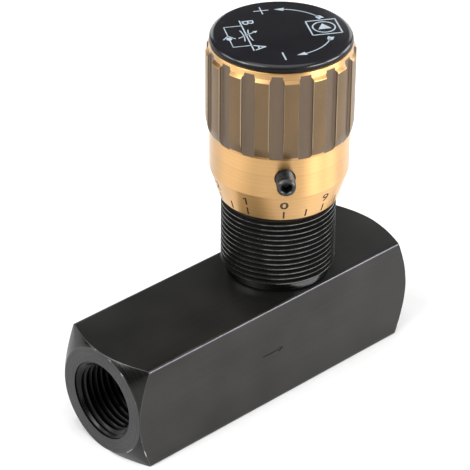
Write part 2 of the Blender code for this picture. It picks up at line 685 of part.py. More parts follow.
def build_knob_screw():
    """Socket screw that clamps the knob's hub onto the spindle's stub."""
    head_foot = RECESS_Z + GAP + WASHER_THICKNESS + GAP
    head_top = head_foot + KNOB_SCREW_HEAD_HEIGHT
    tip = TAPPED_HOLE_Z + GAP
    edge = 0.5 * MM
    outline = [
        (0, head_top), (KNOB_SCREW_HEAD_RADIUS - edge, head_top),
        (KNOB_SCREW_HEAD_RADIUS, head_top - edge), (KNOB_SCREW_HEAD_RADIUS, head_foot),
        (KNOB_SCREW_RADIUS, head_foot), (KNOB_SCREW_RADIUS, tip), (0, tip),
    ]
    screw = turned("knob_screw", outline, SMALL, SPINDLE_AXIS, BRIGHT_STEEL)
    socket_floor = head_top - KNOB_SCREW_SOCKET_DEPTH
    socket = hex_mesh("knob_socket_cutter", socket_floor, head_top + 1 * MM)
    boolean(screw, add_cutter("knob_socket_cutter", socket, SPINDLE_AXIS))
    return screw


def hex_mesh(name, low, high):
    return cylinder_mesh(name, HEX_ACROSS_FLATS / math.sqrt(3), low, high, 6)


def build_knob_cap():
    """Black cap that closes the knob's recess, held by a spring boss."""
    boss = RECESS_RADIUS - GAP
    inner = boss - CAP_BOSS_WALL
    bend = CAP_EDGE * (1 - math.sqrt(0.5))  # how far the middle of the rounded edge is set in
    foot = CAP_FOOT_CHAMFER
    outline = [
        (0, CAP_TOP_Z), (CAP_RADIUS - CAP_EDGE, CAP_TOP_Z),
        (CAP_RADIUS - bend, CAP_TOP_Z - bend), (CAP_RADIUS, CAP_TOP_Z - CAP_EDGE),
        (CAP_RADIUS, CAP_Z + foot), (CAP_RADIUS - foot, CAP_Z), (boss, CAP_Z),
        (boss, CAP_BOSS_Z), (inner, CAP_BOSS_Z), (inner, CAP_Z), (0, CAP_Z),
    ]
    return turned("knob_cap", outline, LARGE, SPINDLE_AXIS, BLACK_PLASTIC)


def build_lock_screw():
    """Socket set screw; its local Z points out of the knob."""
    edge = LOCK_END_CHAMFER
    outline = [
        (0, LOCK_SCREW_TIP), (LOCK_SCREW_RADIUS - edge, LOCK_SCREW_TIP),
        (LOCK_SCREW_RADIUS, LOCK_SCREW_TIP - edge), (LOCK_SCREW_RADIUS, LOCK_SCREW_FOOT + edge),
        (LOCK_SCREW_RADIUS - edge, LOCK_SCREW_FOOT), (0, LOCK_SCREW_FOOT),
    ]
    screw = turned("lock_screw", outline, SMALL, LOCK_AXIS, SCREW_BLACK)
    socket = hex_mesh("lock_socket_cutter", LOCK_SCREW_TIP - HEX_DEPTH, LOCK_SCREW_TIP + 1 * MM)
    boolean(screw, add_cutter("lock_socket_cutter", socket, LOCK_AXIS))
    return screw


def build_lock_pad():
    """Soft pad between the set screw and the sleeve, so that the screw doesn't mark it."""
    mesh = cylinder_mesh("lock_pad", LOCK_PAD_RADIUS, LOCK_PAD_START, LOCK_SCREW_FOOT - GAP, TINY)
    pad = place("lock_pad", mesh, LOCK_AXIS, *BRASS)
    shade(pad)
    return pad


def build_check_seat():
    """Screwed sleeve at the port end of the check bore, coned inside for the poppet."""
    start = CHECK_SEAT_X
    end = start + CHECK_SEAT_LENGTH
    outline = [
        (CHECK_HOLE_RADIUS + CHECK_CONE, end), (CHECK_SLEEVE_RADIUS, end),
        (CHECK_SLEEVE_RADIUS, start), (CHECK_HOLE_RADIUS, start),
        (CHECK_HOLE_RADIUS, end - CHECK_CONE),
    ]
    seat = turned("check_seat", outline, SMALL, CHECK_AXIS, BRIGHT_STEEL, closed=True)
    reach = CHECK_BORE_RADIUS + 1 * MM
    half_slot = CHECK_SLOT_WIDTH / 2
    slot = box_mesh(
        "check_slot_cutter", (-reach, -half_slot, start - 1 * MM),
        (reach, half_slot, start + CHECK_SLOT_DEPTH),
    )
    boolean(seat, add_cutter("check_slot_cutter", slot, CHECK_AXIS))
    return seat


def build_check_poppet():
    """Coned poppet with a stop boss and a guided stem; it opens towards +X."""
    seat_edge = CHECK_SEAT_X + CHECK_SEAT_LENGTH
    cone_offset = CHECK_HOLE_RADIUS + CHECK_CONE - seat_edge - POPPET_AXIAL_GAP
    outline = [
        (0, POPPET_STEM_X), (POPPET_STEM_RADIUS, POPPET_STEM_X),
        (POPPET_STEM_RADIUS, POPPET_BOSS_X), (POPPET_BOSS_RADIUS, POPPET_BOSS_X),
        (POPPET_BOSS_RADIUS, POPPET_BACK_X), (POPPET_RADIUS, POPPET_BACK_X),
        (POPPET_RADIUS, POPPET_RADIUS - cone_offset),
        (POPPET_TIP_RADIUS, POPPET_TIP_RADIUS - cone_offset),
        (0, POPPET_TIP_RADIUS - cone_offset),
    ]
    return turned("check_poppet", outline, SMALL, CHECK_AXIS, BRIGHT_STEEL)


def build_check_guide():
    """Ring at the bore's inner end that guides the stem, with three flow notches."""
    end = CHECK_BORE_END_X - GAP
    inner = POPPET_STEM_RADIUS + GAP
    outline = [
        (CHECK_SLEEVE_RADIUS, end), (CHECK_SLEEVE_RADIUS, GUIDE_X),
        (inner, GUIDE_X), (inner, end),
    ]
    guide = turned("check_guide", outline, SMALL, CHECK_AXIS, BRIGHT_STEEL, closed=True)
    centre = CHECK_SLEEVE_RADIUS - GUIDE_NOTCH_RADIUS / 2
    bm = bmesh.new()
    for index in range(GUIDE_NOTCHES):
        turn = Matrix.Rotation(index * 2 * math.pi / GUIDE_NOTCHES, 4, "Z")
        matrix = turn @ Matrix.Translation((centre, 0, (GUIDE_X + end) / 2))
        bmesh.ops.create_cone(
            bm, cap_ends=True, segments=TINY, radius1=GUIDE_NOTCH_RADIUS,
            radius2=GUIDE_NOTCH_RADIUS, depth=end - GUIDE_X + 2 * MM, matrix=matrix,
        )
    mesh = bpy.data.meshes.new("guide_notch_cutter")
    bm.to_mesh(mesh)
    bm.free()
    boolean(guide, add_cutter("guide_notch_cutter", mesh, CHECK_AXIS))
    return guide


def build_check_spring():
    """Helical spring between the poppet and the guide, along the check axis."""
    start = POPPET_BACK_X + GAP + SPRING_WIRE_RADIUS
    end = GUIDE_X - GAP - SPRING_WIRE_RADIUS
    count = SPRING_TURNS * SPRING_POINTS_PER_TURN
    curve = bpy.data.curves.new("check_spring", "CURVE")
    curve.dimensions = "3D"
    curve.bevel_depth = SPRING_WIRE_RADIUS
    curve.bevel_resolution = 1
    curve.use_fill_caps = True
    spline = curve.splines.new("POLY")
    spline.points.add(count)
    for index, point in enumerate(spline.points):
        angle = 2 * math.pi * index / SPRING_POINTS_PER_TURN
        along = start + (end - start) * index / count
        x = SPRING_MEAN_RADIUS * math.cos(angle)
        y = SPRING_MEAN_RADIUS * math.sin(angle)
        point.co = (x, y, along, 1)
    spring = place("check_spring", curve, CHECK_AXIS, *SPRING_STEEL)
    return spring


build_valve_body()
build_bonnet()
build_throttle_seat()
build_throttle_pin()
build_anti_turn_dowel()
build_throttle_spindle()
build_spindle_backup_ring()
build_seal_rings()
build_adjusting_knob()
build_knob_drive_pin()
build_knob_washer()
build_knob_screw()
build_knob_cap()
build_lock_screw()
build_lock_pad()
build_check_seat()
build_check_poppet()
build_check_guide()
build_check_spring()
bpy.context.view_layer.update()
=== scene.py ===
import math

import bmesh
import bpy
from mathutils import Matrix, Vector


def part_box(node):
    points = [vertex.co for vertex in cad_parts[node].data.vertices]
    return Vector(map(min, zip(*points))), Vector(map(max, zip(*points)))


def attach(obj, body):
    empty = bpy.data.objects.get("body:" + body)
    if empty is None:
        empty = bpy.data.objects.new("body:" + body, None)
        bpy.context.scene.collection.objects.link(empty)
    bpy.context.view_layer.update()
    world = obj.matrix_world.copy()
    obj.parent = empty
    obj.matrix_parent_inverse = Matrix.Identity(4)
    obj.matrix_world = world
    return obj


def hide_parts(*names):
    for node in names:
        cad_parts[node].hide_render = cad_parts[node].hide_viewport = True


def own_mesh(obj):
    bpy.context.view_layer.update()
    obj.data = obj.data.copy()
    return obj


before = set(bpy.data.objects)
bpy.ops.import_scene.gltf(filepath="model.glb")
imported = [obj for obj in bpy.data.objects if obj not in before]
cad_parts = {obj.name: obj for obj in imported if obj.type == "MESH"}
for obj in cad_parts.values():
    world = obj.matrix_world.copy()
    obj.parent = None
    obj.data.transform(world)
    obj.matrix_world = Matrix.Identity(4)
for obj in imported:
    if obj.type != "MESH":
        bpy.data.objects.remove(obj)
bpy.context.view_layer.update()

MM = 0.001
FINE = 192  # facets round the large turned pieces
TURNED = 96  # facets round the small ones
AXIS = 0.00001  # outline points nearer to the axis than this lie on it
SMOOTH = math.radians(28)  # edges sharper than this show as edges
BAR_SMOOTH = math.radians(20)
WELD = 0.002 * MM

# Places read from the frame
BODY_LOW, BODY_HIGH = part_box("valve_body")
NECK_LOW, NECK_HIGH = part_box("bonnet")
KNOB_LOW, KNOB_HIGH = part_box("adjusting_knob")
CAP_LOW, CAP_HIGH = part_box("knob_cap")
END_X = BODY_HIGH.x
HALF_SIDE = BODY_HIGH.y
PORT_Z = (BODY_LOW.z + BODY_HIGH.z) / 2
NECK_X = (NECK_LOW.x + NECK_HIGH.x) / 2
NECK_AXIS = Vector((NECK_X, 0, 0))

# Body ends and ports (G1/2)
END_FACE_RADIUS = 14.9 * MM
END_CONE_LENGTH = 3.5 * MM
END_RINGS = 6  # rings of points from an end face's rim to the flats
LONG_EDGE = 0.6 * MM  # rounding of the bar's long edges
PORT_MINOR = 9.3 * MM
PORT_MAJOR = 10.45 * MM
PORT_PITCH = 25.4 / 14 * MM
PORT_MOUTH = 10.95 * MM
PORT_LAND = 10.4 * MM  # where the step inside the mouth turns into the lead-in
PORT_DEPTH = 15.75 * MM
PORT_RELIEF = 10.6 * MM
PORT_RELIEF_LENGTH = 2.4 * MM
CHECK_Z = 19.3 * MM
CHECK_BORE_END_X = -7 * MM

# Neck thread (M30 x 1.5)
NECK_RADIUS = 15.3 * MM
NECK_PITCH = 1.5 * MM
NECK_ROOT = NECK_RADIUS - 0.85 * MM
NECK_CREST = 0.17 * MM  # width of the flat left on each thread
NECK_TOP_Z = 53 * MM
NECK_RELIEF_RADIUS = 14 * MM
NECK_RELIEF_TOP_Z = 32.4 * MM
SLEEVE_RADIUS = 11.6 * MM

# Knob
KNOB_FOOT_Z = KNOB_LOW.z + 0.25 * MM
KNOB_FOOT_RADIUS = 15.95 * MM
BAND_Z = 61.6 * MM
BAND_RADIUS = 18.4 * MM
GRIP_Z = 72.85 * MM
GRIP_TAPER = 3.5 * MM
GRIP_TOP_Z = 95.2 * MM
RIDGE_RADIUS = 19.4 * MM
GROOVE_RADIUS = 18.5 * MM
SLIVER = 0.85 * MM  # height of the bare chamfer under the ridges
SHOULDER_Z = 95.95 * MM
SHOULDER_RADIUS = 18.6 * MM
KNOB_TOP_Z = KNOB_HIGH.z
FLUTES = 16
GROOVE_HALF_WIDTH = 1.85 * MM
GROOVE_FILLET = 0.5 * MM
RIDGE_BEVEL = 0.2 * MM
CAP_RADIUS = 18.5 * MM
LOCK_ANGLE = math.radians(-129.2)
FIRST_FLUTE = LOCK_ANGLE - math.radians(7.5)
LOCK_Z = 67.5 * MM
DIAL_STEP = math.radians(18)
DIAL_LEAD = math.radians(2.6)  # how much nearer to the 0 the rest of the dial is cut

# Camera and light
CAMERA_PLACE = (-0.36894, -0.39267, 0.38274)
CAMERA_AZIMUTH = -43.05
CAMERA_ELEVATION = 32.10
CAMERA_ROLL = 0.409
CAMERA_LENS = 185.3


# ---------------------------------------------------------------- mesh tools

def arc_corner(before, corner, after, radius, samples=4):
    """Points of a fillet of that radius in a corner of an outline."""
    a = (Vector(before) - Vector(corner)).normalized()
    b = (Vector(after) - Vector(corner)).normalized()
    half = math.acos(max(-1, min(1, a.dot(b)))) / 2
    reach = radius / math.tan(half)
    centre = Vector(corner) + (a + b).normalized() * (radius / math.sin(half))
    start = Vector(corner) + a * reach - centre
    end = Vector(corner) + b * reach - centre
    sweep = start.angle_signed(end)
    points = []
    for index in range(samples + 1):
        turn = -sweep * index / samples
        x = start.x * math.cos(turn) - start.y * math.sin(turn)
        y = start.x * math.sin(turn) + start.y * math.cos(turn)
        points.append((centre.x + x, centre.y + y))
    return points


def filleted(corners, closed):
    """An outline of (radius, height, fillet) corners as plain points."""
    points = []
    count = len(corners)
    for index, corner in enumerate(corners):
        fillet = corner[2] if len(corner) > 2 else 0
        at_end = not closed and index in (0, count - 1)
        if fillet == 0 or at_end:
            points.append(corner[:2])
            continue
        before = corners[index - 1][:2]
        after = corners[(index + 1) % count][:2]
        points.extend(arc_corner(before, corner[:2], after, fillet))
    return points


def show(obj):
    bpy.context.scene.collection.objects.link(obj)


def coat(obj, *materials):
    """Adds materials to a piece or a tool, in that order."""
    for material in materials:
        obj.data.materials.append(material)


def object_from(bm, name, smooth=SMOOTH):
    bmesh.ops.recalc_face_normals(bm, faces=bm.faces)
    mesh = bpy.data.meshes.new(name)
    bm.to_mesh(mesh)
    bm.free()
    mesh.shade_smooth()
    mesh.set_sharp_from_angle(angle=smooth)
    obj = bpy.data.objects.new(name, mesh)
    show(obj)
    return obj


def lathe(name, corners, steps=FINE, closed=False):
    """A solid turned about its local Z from an outline; open outlines start and end on the axis."""
    outline = filleted(corners, closed)
    bm = bmesh.new()
    rings = []
    for radius, height in outline:
        if radius < AXIS:
            rings.append([bm.verts.new((0, 0, height))])
            continue
        ring = []
        for step in range(steps):
            angle = 2 * math.pi * step / steps
            ring.append(bm.verts.new((radius * math.cos(angle), radius * math.sin(angle), height)))
        rings.append(ring)
    spans = list(zip(rings, rings[1:]))
    if closed:
        spans.append((rings[-1], rings[0]))
    for first, second in spans:
        for step in range(steps):
            after = step + 1
            quad = [
                first[step % len(first)], first[after % len(first)],
                second[after % len(second)], second[step % len(second)],
            ]
            face = list(dict.fromkeys(quad))
            if len(face) > 2:
                bm.faces.new(face)
    return object_from(bm, name)


def helix_groove(name, section, pitch, start, turns, steps=96):
    """A section of (radius, height) points swept up a right-hand helix, closed at both ends."""
    bm = bmesh.new()
    rings = []
    for step in range(int(turns * steps) + 1):
        angle = 2 * math.pi * step / steps
        rise = start + pitch * step / steps
        ring = []
        for radius, height in section:
            place = (radius * math.cos(angle), radius * math.sin(angle), height + rise)
            ring.append(bm.verts.new(place))
        rings.append(ring)
    size = len(section)
    for first, second in zip(rings, rings[1:]):
        for index in range(size):
            after = (index + 1) % size
            bm.faces.new((first[index], first[after], second[after], second[index]))
    bm.faces.new(rings[0])
    bm.faces.new(rings[-1])
    return object_from(bm, name)


def outer_thread_section(crest, root, pitch, flat):
    """Groove section of an outside thread: 60 degree flanks, flat root, crest of the stated width."""
    crest_half = (pitch - flat) / 2
    root_half = crest_half - (crest - root) * math.tan(math.radians(30))
    over = 0.05 * MM
    over_half = crest_half + over * math.tan(math.radians(30))
    return [(root, -root_half), (crest + over, -over_half), (crest + over, over_half), (root, root_half)]


def inner_thread_section(minor, major, pitch):
    """Groove section of an inside thread: narrow at the major radius, wide at the minor one."""
    root_half = pitch / 12
    wide_half = pitch * 0.44
    over = 0.3 * MM
    return [(minor - over, -wide_half), (minor, -wide_half), (major, -root_half),
            (major, root_half), (minor, wide_half), (minor - over, wide_half)]


def combine(target, *tools):
    """Cuts all the tools from the target in one go; the new faces keep their tool's material."""
    tool = joined(target.name + "_tools", tools)
    modifier = target.modifiers.new("Boolean", "BOOLEAN")
    modifier.operation = "DIFFERENCE"
    modifier.object = tool
    modifier.solver = "EXACT"
    modifier.use_self = True
    modifier.material_mode = "TRANSFER"
    graph = bpy.context.evaluated_depsgraph_get()
    mesh = bpy.data.meshes.new_from_object(target.evaluated_get(graph))
    target.modifiers.clear()
    old = target.data
    target.data = mesh
    bpy.data.meshes.remove(old)
    bpy.data.objects.remove(tool)
    mesh.shade_smooth()
    mesh.set_sharp_from_angle(angle=SMOOTH)


def joined(name, objects):
    """Several closed bodies as one mesh object, each with its own material."""
    bm = bmesh.new()
    skins = []
    for obj in objects:
        mesh = obj.data
        mesh.transform(obj.matrix_world)
        earlier = len(bm.faces)
        bm.from_mesh(mesh)
        if mesh.materials:
            if mesh.materials[0] not in skins:
                skins.append(mesh.materials[0])
            bm.faces.ensure_lookup_table()
            for face in bm.faces[earlier:]:
                face.material_index = skins.index(mesh.materials[0])
        bpy.data.objects.remove(obj)
    whole = object_from(bm, name)
    coat(whole, *skins)
    return whole


def cylinder(name, radius, low, high, steps=48):
    return lathe(name, [(0, high), (radius, high), (radius, low), (0, low)], steps)


def prism(name, points, low, high):
    """A flat outline of (x, y) points extruded from height low to height high."""
    bm = bmesh.new()
    bottom = [bm.verts.new((x, y, low)) for x, y in points]
    top = [bm.verts.new((x, y, high)) for x, y in points]
    bm.faces.new(bottom[::-1])
    bm.faces.new(top)
    for index in range(len(points)):
        after = (index + 1) % len(points)
        bm.faces.new((bottom[index], bottom[after], top[after], top[index]))
    return object_from(bm, name)


def hexagon(name, across_flats, low, high):
    radius = across_flats / math.sqrt(3)
    turns = [math.radians(60 * index) for index in range(6)]
    return prism(name, [(radius * math.cos(a), radius * math.sin(a)) for a in turns], low, high)


def lettering(name, text, height, depth, width=1.0, bold=0.0):
    """Text as a closed solid centred on the origin, reading along X, facing +Z."""
    curve = bpy.data.curves.new(name, "FONT")
    curve.body = text
    curve.size = height / 0.7
    curve.align_x = "CENTER"
    curve.align_y = "CENTER"
    curve.extrude = depth / 2
    curve.offset = bold
    curve.resolution_u = 6
    obj = bpy.data.objects.new(name, curve)
    show(obj)
    bpy.context.view_layer.update()
    graph = bpy.context.evaluated_depsgraph_get()
    mesh = bpy.data.meshes.new_from_object(obj.evaluated_get(graph))
    bpy.data.objects.remove(obj)
    bm = bmesh.new()
    bm.from_mesh(mesh)
    bpy.data.meshes.remove(mesh)
    bmesh.ops.remove_doubles(bm, verts=bm.verts, dist=WELD)
    xs = [v.co.x for v in bm.verts]
    ys = [v.co.y for v in bm.verts]
    middle = Vector(((min(xs) + max(xs)) / 2, (min(ys) + max(ys)) / 2, 0))
    stretch = height / (max(ys) - min(ys))
    bmesh.ops.translate(bm, vec=-middle, verts=bm.verts)
    bmesh.ops.scale(bm, vec=(stretch * width, stretch, 1), verts=bm.verts)
    return object_from(bm, name)


def set_place(obj, matrix):
    obj.data.transform(matrix)
    obj.data.update()


def box_solid(name, low, high):
    corners = [(low[0], low[1]), (high[0], low[1]), (high[0], high[1]), (low[0], high[1])]
    return prism(name, corners, low[2], high[2])


# ---------------------------------------------------------------- materials

def new_material(name, colour, roughness, metallic):
    material = bpy.data.materials.new(name)
    material.use_nodes = True
    shader = material.node_tree.nodes["Principled BSDF"]
    shader.inputs["Base Color"].default_value = (*colour, 1)
    shader.inputs["Roughness"].default_value = roughness
    shader.inputs["Metallic"].default_value = metallic
    return material, shader


def add_node(material, kind, **settings):
    node = material.node_tree.nodes.new(kind)
    for key, value in settings.items():
        setattr(node, key, value)
    return node


def link(material, source, target):
    material.node_tree.links.new(source, target)


def wire_up(material, shader, colour, roughness=None):
    """Links a colour, and a roughness where there is one, to the shader."""
    link(material, colour, shader.inputs["Base Color"])
    if roughness is not None:
        link(material, roughness, shader.inputs["Roughness"])


def noise(material, scale, stretch=(1, 1, 1), detail=4, centre=(0, 0, 0)):
    """Noise over the object's own coordinates, squeezed per axis."""
    place = add_node(material, "ShaderNodeTexCoord")
    mapping = add_node(material, "ShaderNodeMapping")
    mapping.inputs["Scale"].default_value = stretch
    mapping.inputs["Location"].default_value = centre
    texture = add_node(material, "ShaderNodeTexNoise")
    texture.inputs["Scale"].default_value = scale
    texture.inputs["Detail"].default_value = detail
    link(material, place.outputs["Object"], mapping.inputs["Vector"])
    link(material, mapping.outputs["Vector"], texture.inputs["Vector"])
    return texture.outputs["Fac"]


def turned_lines(material, scale, axis, offset, detail=3):
    """Fine rings about an axis: noise that varies only with height and distance from the axis."""
    place = add_node(material, "ShaderNodeTexCoord")
    shift = add_node(material, "ShaderNodeVectorMath", operation="SUBTRACT")
    shift.inputs[1].default_value = offset
    split = add_node(material, "ShaderNodeSeparateXYZ")
    pair = add_node(material, "ShaderNodeCombineXYZ")
    length = add_node(material, "ShaderNodeVectorMath", operation="LENGTH")
    rings = add_node(material, "ShaderNodeCombineXYZ")
    texture = add_node(material, "ShaderNodeTexNoise")
    texture.inputs["Scale"].default_value = scale
    texture.inputs["Detail"].default_value = detail
    across = [name for name in "XYZ" if name != axis]
    link(material, place.outputs["Object"], shift.inputs[0])
    link(material, shift.outputs["Vector"], split.inputs["Vector"])
    link(material, split.outputs[across[0]], pair.inputs["X"])
    link(material, split.outputs[across[1]], pair.inputs["Y"])
    link(material, pair.outputs["Vector"], length.inputs[0])
    link(material, length.outputs["Value"], rings.inputs["X"])
    link(material, split.outputs[axis], rings.inputs["Y"])
    link(material, rings.outputs["Vector"], texture.inputs["Vector"])
    return texture.outputs["Fac"]


def spread(material, source, low, high, start=0.3, end=0.7):
    """Maps a noise value onto a range, for roughness."""
    node = add_node(material, "ShaderNodeMapRange")
    node.inputs["From Min"].default_value = start
    node.inputs["From Max"].default_value = end
    node.inputs["To Min"].default_value = low
    node.inputs["To Max"].default_value = high
    link(material, source, node.inputs["Value"])
    return node.outputs["Result"]


def tint(material, source, dark, light, start=0.3, end=0.7):
    """Maps a noise value onto two colours."""
    ramp = add_node(material, "ShaderNodeValToRGB")
    ramp.color_ramp.elements[0].position = start
    ramp.color_ramp.elements[0].color = (*dark, 1)
    ramp.color_ramp.elements[1].position = end
    ramp.color_ramp.elements[1].color = (*light, 1)
    link(material, source, ramp.inputs["Fac"])
    return ramp.outputs["Color"]


def mixed(material, first, second, mode="MULTIPLY", amount=1.0):
    node = add_node(material, "ShaderNodeMix", data_type="RGBA", blend_type=mode)
    node.inputs["Factor"].default_value = amount
    link(material, first, node.inputs["A"])
    link(material, second, node.inputs["B"])
    return node.outputs["Result"]


def bump(material, shader, heights, distance, strength=1.0):
    """Adds one or more height sources, each on top of the last."""
    normal = None
    for height in heights:
        node = add_node(material, "ShaderNodeBump")
        node.inputs["Distance"].default_value = distance
        node.inputs["Strength"].default_value = strength
        link(material, height, node.inputs["Height"])
        if normal is not None:
            link(material, normal, node.inputs["Normal"])
        normal = node.outputs["Normal"]
    link(material, normal, shader.inputs["Normal"])


def radial_tangent(material, shader, amount):
    """Stretches highlights across the turning lines."""
    tangent = add_node(material, "ShaderNodeTangent", direction_type="RADIAL", axis="Z")
    shader.inputs["Anisotropic"].default_value = amount
    shader.inputs["Anisotropic Rotation"].default_value = 0.25
    link(material, tangent.outputs["Tangent"], shader.inputs["Tangent"])


def clear_skin(shader, weight, roughness):
    """The clear oxide layer over an anodised colour."""
    shader.inputs["Coat Weight"].default_value = weight
    shader.inputs["Coat Roughness"].default_value = roughness
    shader.inputs["Coat IOR"].default_value = 1.6


def black_ground():
    """Blackened steel on the bar's flats: faint drawing lines along X and soft clouding."""
    material, shader = new_material("blackened_flats", (0.03, 0.03, 0.03), 0.4, 0.85)
    clouds = noise(material, 60, detail=5)
    lines = noise(material, 900, (0.02, 1, 1), 3)
    colour = tint(material, clouds, (0.028, 0.027, 0.026), (0.039, 0.038, 0.036))
    fine = tint(material, lines, (0.9, 0.9, 0.9), (1, 1, 1))
    wire_up(material, shader, mixed(material, colour, fine), spread(material, clouds, 0.34, 0.44))
    grain = noise(material, 2600, detail=2)
    bump(material, shader, [lines, grain], 0.000004, 0.25)
    return material


def black_turned():
    """Blackened steel on the turned ends, with rings about the flow bore."""
    material, shader = new_material("blackened_ends", (0.03, 0.03, 0.03), 0.36, 0.85)
    rings = turned_lines(material, 2600, "X", (0, 0, PORT_Z))
    clouds = noise(material, 90)
    colour = tint(material, clouds, (0.040, 0.039, 0.039), (0.053, 0.052, 0.052))
    fine = tint(material, rings, (0.86, 0.86, 0.86), (1, 1, 1))
    wire_up(material, shader, mixed(material, colour, fine), spread(material, rings, 0.23, 0.31))
    bump(material, shader, [rings], 0.000006, 0.35)
    return material


def black_edge():
    """The bar's long edges, paler than its flats: partly rubbed metal, partly a painted highlight along the
    edge.
    """
    material, shader = new_material("rubbed_edges_and_highlight", (0.2, 0.2, 0.21), 0.3, 0.9)
    wear = noise(material, 350, (0.25, 1, 1), 6)
    colour = tint(material, wear, (0.050, 0.050, 0.054), (0.085, 0.085, 0.093), 0.35, 0.65)
    wire_up(material, shader, colour, spread(material, wear, 0.28, 0.4))
    return material


def turned_edge():
    """The turned ends' corners: black, with a few bright patches of bare metal that are partly painted
    glints.
    """
    material, shader = new_material("turned_edges_wear_and_glints", (0.06, 0.06, 0.06), 0.34, 0.85)
    wear = noise(material, 240, detail=5)
    colour = tint(material, wear, (0.055, 0.055, 0.055), (0.42, 0.42, 0.42), 0.60, 0.68)
    wire_up(material, shader, colour, spread(material, wear, 0.3, 0.42))
    return material


def black_bore():
    """Inside of the ports and drillings: black threads, near-black as painted shade in the recesses."""
    material, shader = new_material("port_threads_painted_shade", (0.03, 0.03, 0.03), 0.3, 0.85)
    rings = turned_lines(material, 1800, "X", (0, 0, PORT_Z))
    colour = tint(material, rings, (0.007, 0.007, 0.007), (0.020, 0.020, 0.020))
    wire_up(material, shader, colour, spread(material, rings, 0.22, 0.36))
    bump(material, shader, [rings], 0.000005, 0.3)
    return material


def neck_black():
    """Blackened neck, a little glossier than the bar, and darker than it: painted shade on the thread
    flanks.
    """
    material, shader = new_material("blackened_neck", (0.02, 0.02, 0.02), 0.3, 0.8)
    rings = turned_lines(material, 3000, "Z", NECK_AXIS)
    clouds = noise(material, 120)
    colour = tint(material, clouds, (0.012, 0.012, 0.011), (0.020, 0.020, 0.019))
    wire_up(material, shader, colour, spread(material, rings, 0.24, 0.36))
    bump(material, shader, [rings], 0.000004, 0.3)
    return material


def worn_crest():
    """Thread crests and rims rubbed down to grey metal, in patches; their pale line is partly a painted
    highlight.
    """
    material, shader = new_material("worn_crests_and_highlight", (0.2, 0.2, 0.2), 0.25, 1.0)
    wear = noise(material, 420, detail=5)
    colour = tint(material, wear, (0.10, 0.10, 0.10), (0.24, 0.24, 0.24), 0.35, 0.65)
    wire_up(material, shader, colour, spread(material, wear, 0.30, 0.22))
    return material


def neck_foot():
    """Smooth bright-turned run-out at the foot of the neck; it mirrors the bar below it."""
    material, shader = new_material("neck_run_out", (0.1, 0.1, 0.1), 0.13, 1.0)
    rings = turned_lines(material, 3000, "Z", NECK_AXIS)
    colour = tint(material, rings, (0.075, 0.075, 0.075), (0.115, 0.115, 0.115))
    wire_up(material, shader, colour, spread(material, rings, 0.10, 0.18))
    return material


def turned_cone():
    """The cones on the bar's corners: black, finely turned, glossier than the end faces, and darker than
    them as painted shade.
    """
    material, shader = new_material("blackened_cones_shaded", (0.02, 0.02, 0.02), 0.2, 0.9)
    rings = turned_lines(material, 2600, "X", (0, 0, PORT_Z))
    colour = tint(material, rings, (0.016, 0.016, 0.015), (0.030, 0.030, 0.029))
    wire_up(material, shader, colour, spread(material, rings, 0.15, 0.24))
    return material


def gold_turned():
    """Gold anodised aluminium, finely turned."""
    material, shader = new_material("gold_turned", (0.8, 0.55, 0.25), 0.3, 1.0)
    rings = turned_lines(material, 2400, "Z", NECK_AXIS, 5)
    broad = turned_lines(material, 260, "Z", NECK_AXIS, 2)
    colour = tint(material, rings, (0.52, 0.300, 0.108), (0.61, 0.362, 0.142))
    shade = tint(material, broad, (0.95, 0.94, 0.92), (1, 1, 1))
    wire_up(material, shader, mixed(material, colour, shade), spread(material, rings, 0.35, 0.44))
    bump(material, shader, [rings], 0.000004, 0.4)
    radial_tangent(material, shader, 0.85)
    clear_skin(shader, 0.45, 0.22)
    return material


def grip_brown(name, dark, light):
    """Matt brown anodised skin of the grip, with fine blasted grain and a few worn streaks."""
    material, shader = new_material(name, light, 0.5, 0.9)
    grain = noise(material, 2200, (1, 1, 0.6), 4)
    clouds = noise(material, 110, (1, 1, 0.35), 4)
    streaks = noise(material, 420, (1, 1, 0.06), 3, (3, 1, 0))
    colour = tint(material, clouds, dark, light)
    fine = tint(material, grain, (0.86, 0.86, 0.86), (1, 1, 1))
    body = mixed(material, colour, fine)
    wear = tint(material, streaks, (0, 0, 0), (0.34, 0.22, 0.09), 0.70, 0.78)
    wire_up(material, shader, mixed(material, body, wear, "ADD"), spread(material, grain, 0.38, 0.5))
    clear_skin(shader, 0.35, 0.36)
    bump(material, shader, [grain], 0.00001, 0.4)
    return material


def cap_plastic():
    """Gloss black moulded cap."""
    material, shader = new_material("cap_gloss", (0.016, 0.016, 0.018), 0.22, 0.0)
    grain = noise(material, 1600, detail=2)
    clouds = noise(material, 70, detail=3)
    colour = tint(material, clouds, (0.008, 0.008, 0.010), (0.012, 0.012, 0.015))
    wire_up(material, shader, colour, spread(material, clouds, 0.15, 0.21))
    bump(material, shader, [grain], 0.000003, 0.15)
    shader.inputs["Specular IOR Level"].default_value = 0.38
    return material


def cap_matt():
    """The cap's side: the same plastic, not polished, and darker as painted shade."""
    material, shader = new_material("cap_matt", (0.005, 0.005, 0.005), 0.5, 0.0)
    grain = noise(material, 1600, detail=3)
    colour = tint(material, grain, (0.003, 0.003, 0.003), (0.006, 0.006, 0.007))
    wire_up(material, shader, colour, spread(material, grain, 0.34, 0.46))
    shader.inputs["Specular IOR Level"].default_value = 0.14
    return material


def cap_ink():
    """Pale blue-white pad printing."""
    material, shader = new_material("cap_ink", (0.62, 0.69, 0.74), 0.5, 0.0)
    grain = noise(material, 1500, detail=3)
    colour = tint(material, grain, (0.30, 0.36, 0.41), (0.42, 0.49, 0.55))
    wire_up(material, shader, colour)
    bump(material, shader, [grain], 0.000004, 0.3)
    return material


def dial_paint():
    """Dark brown fill of the dial's engraving."""
    material, shader = new_material("dial_fill", (0.03, 0.018, 0.008), 0.5, 0.1)
    grain = noise(material, 1800, detail=3)
    colour = tint(material, grain, (0.020, 0.011, 0.005), (0.05, 0.028, 0.012))
    wire_up(material, shader, colour)
    bump(material, shader, [grain], 0.000005, 0.4)
    return material


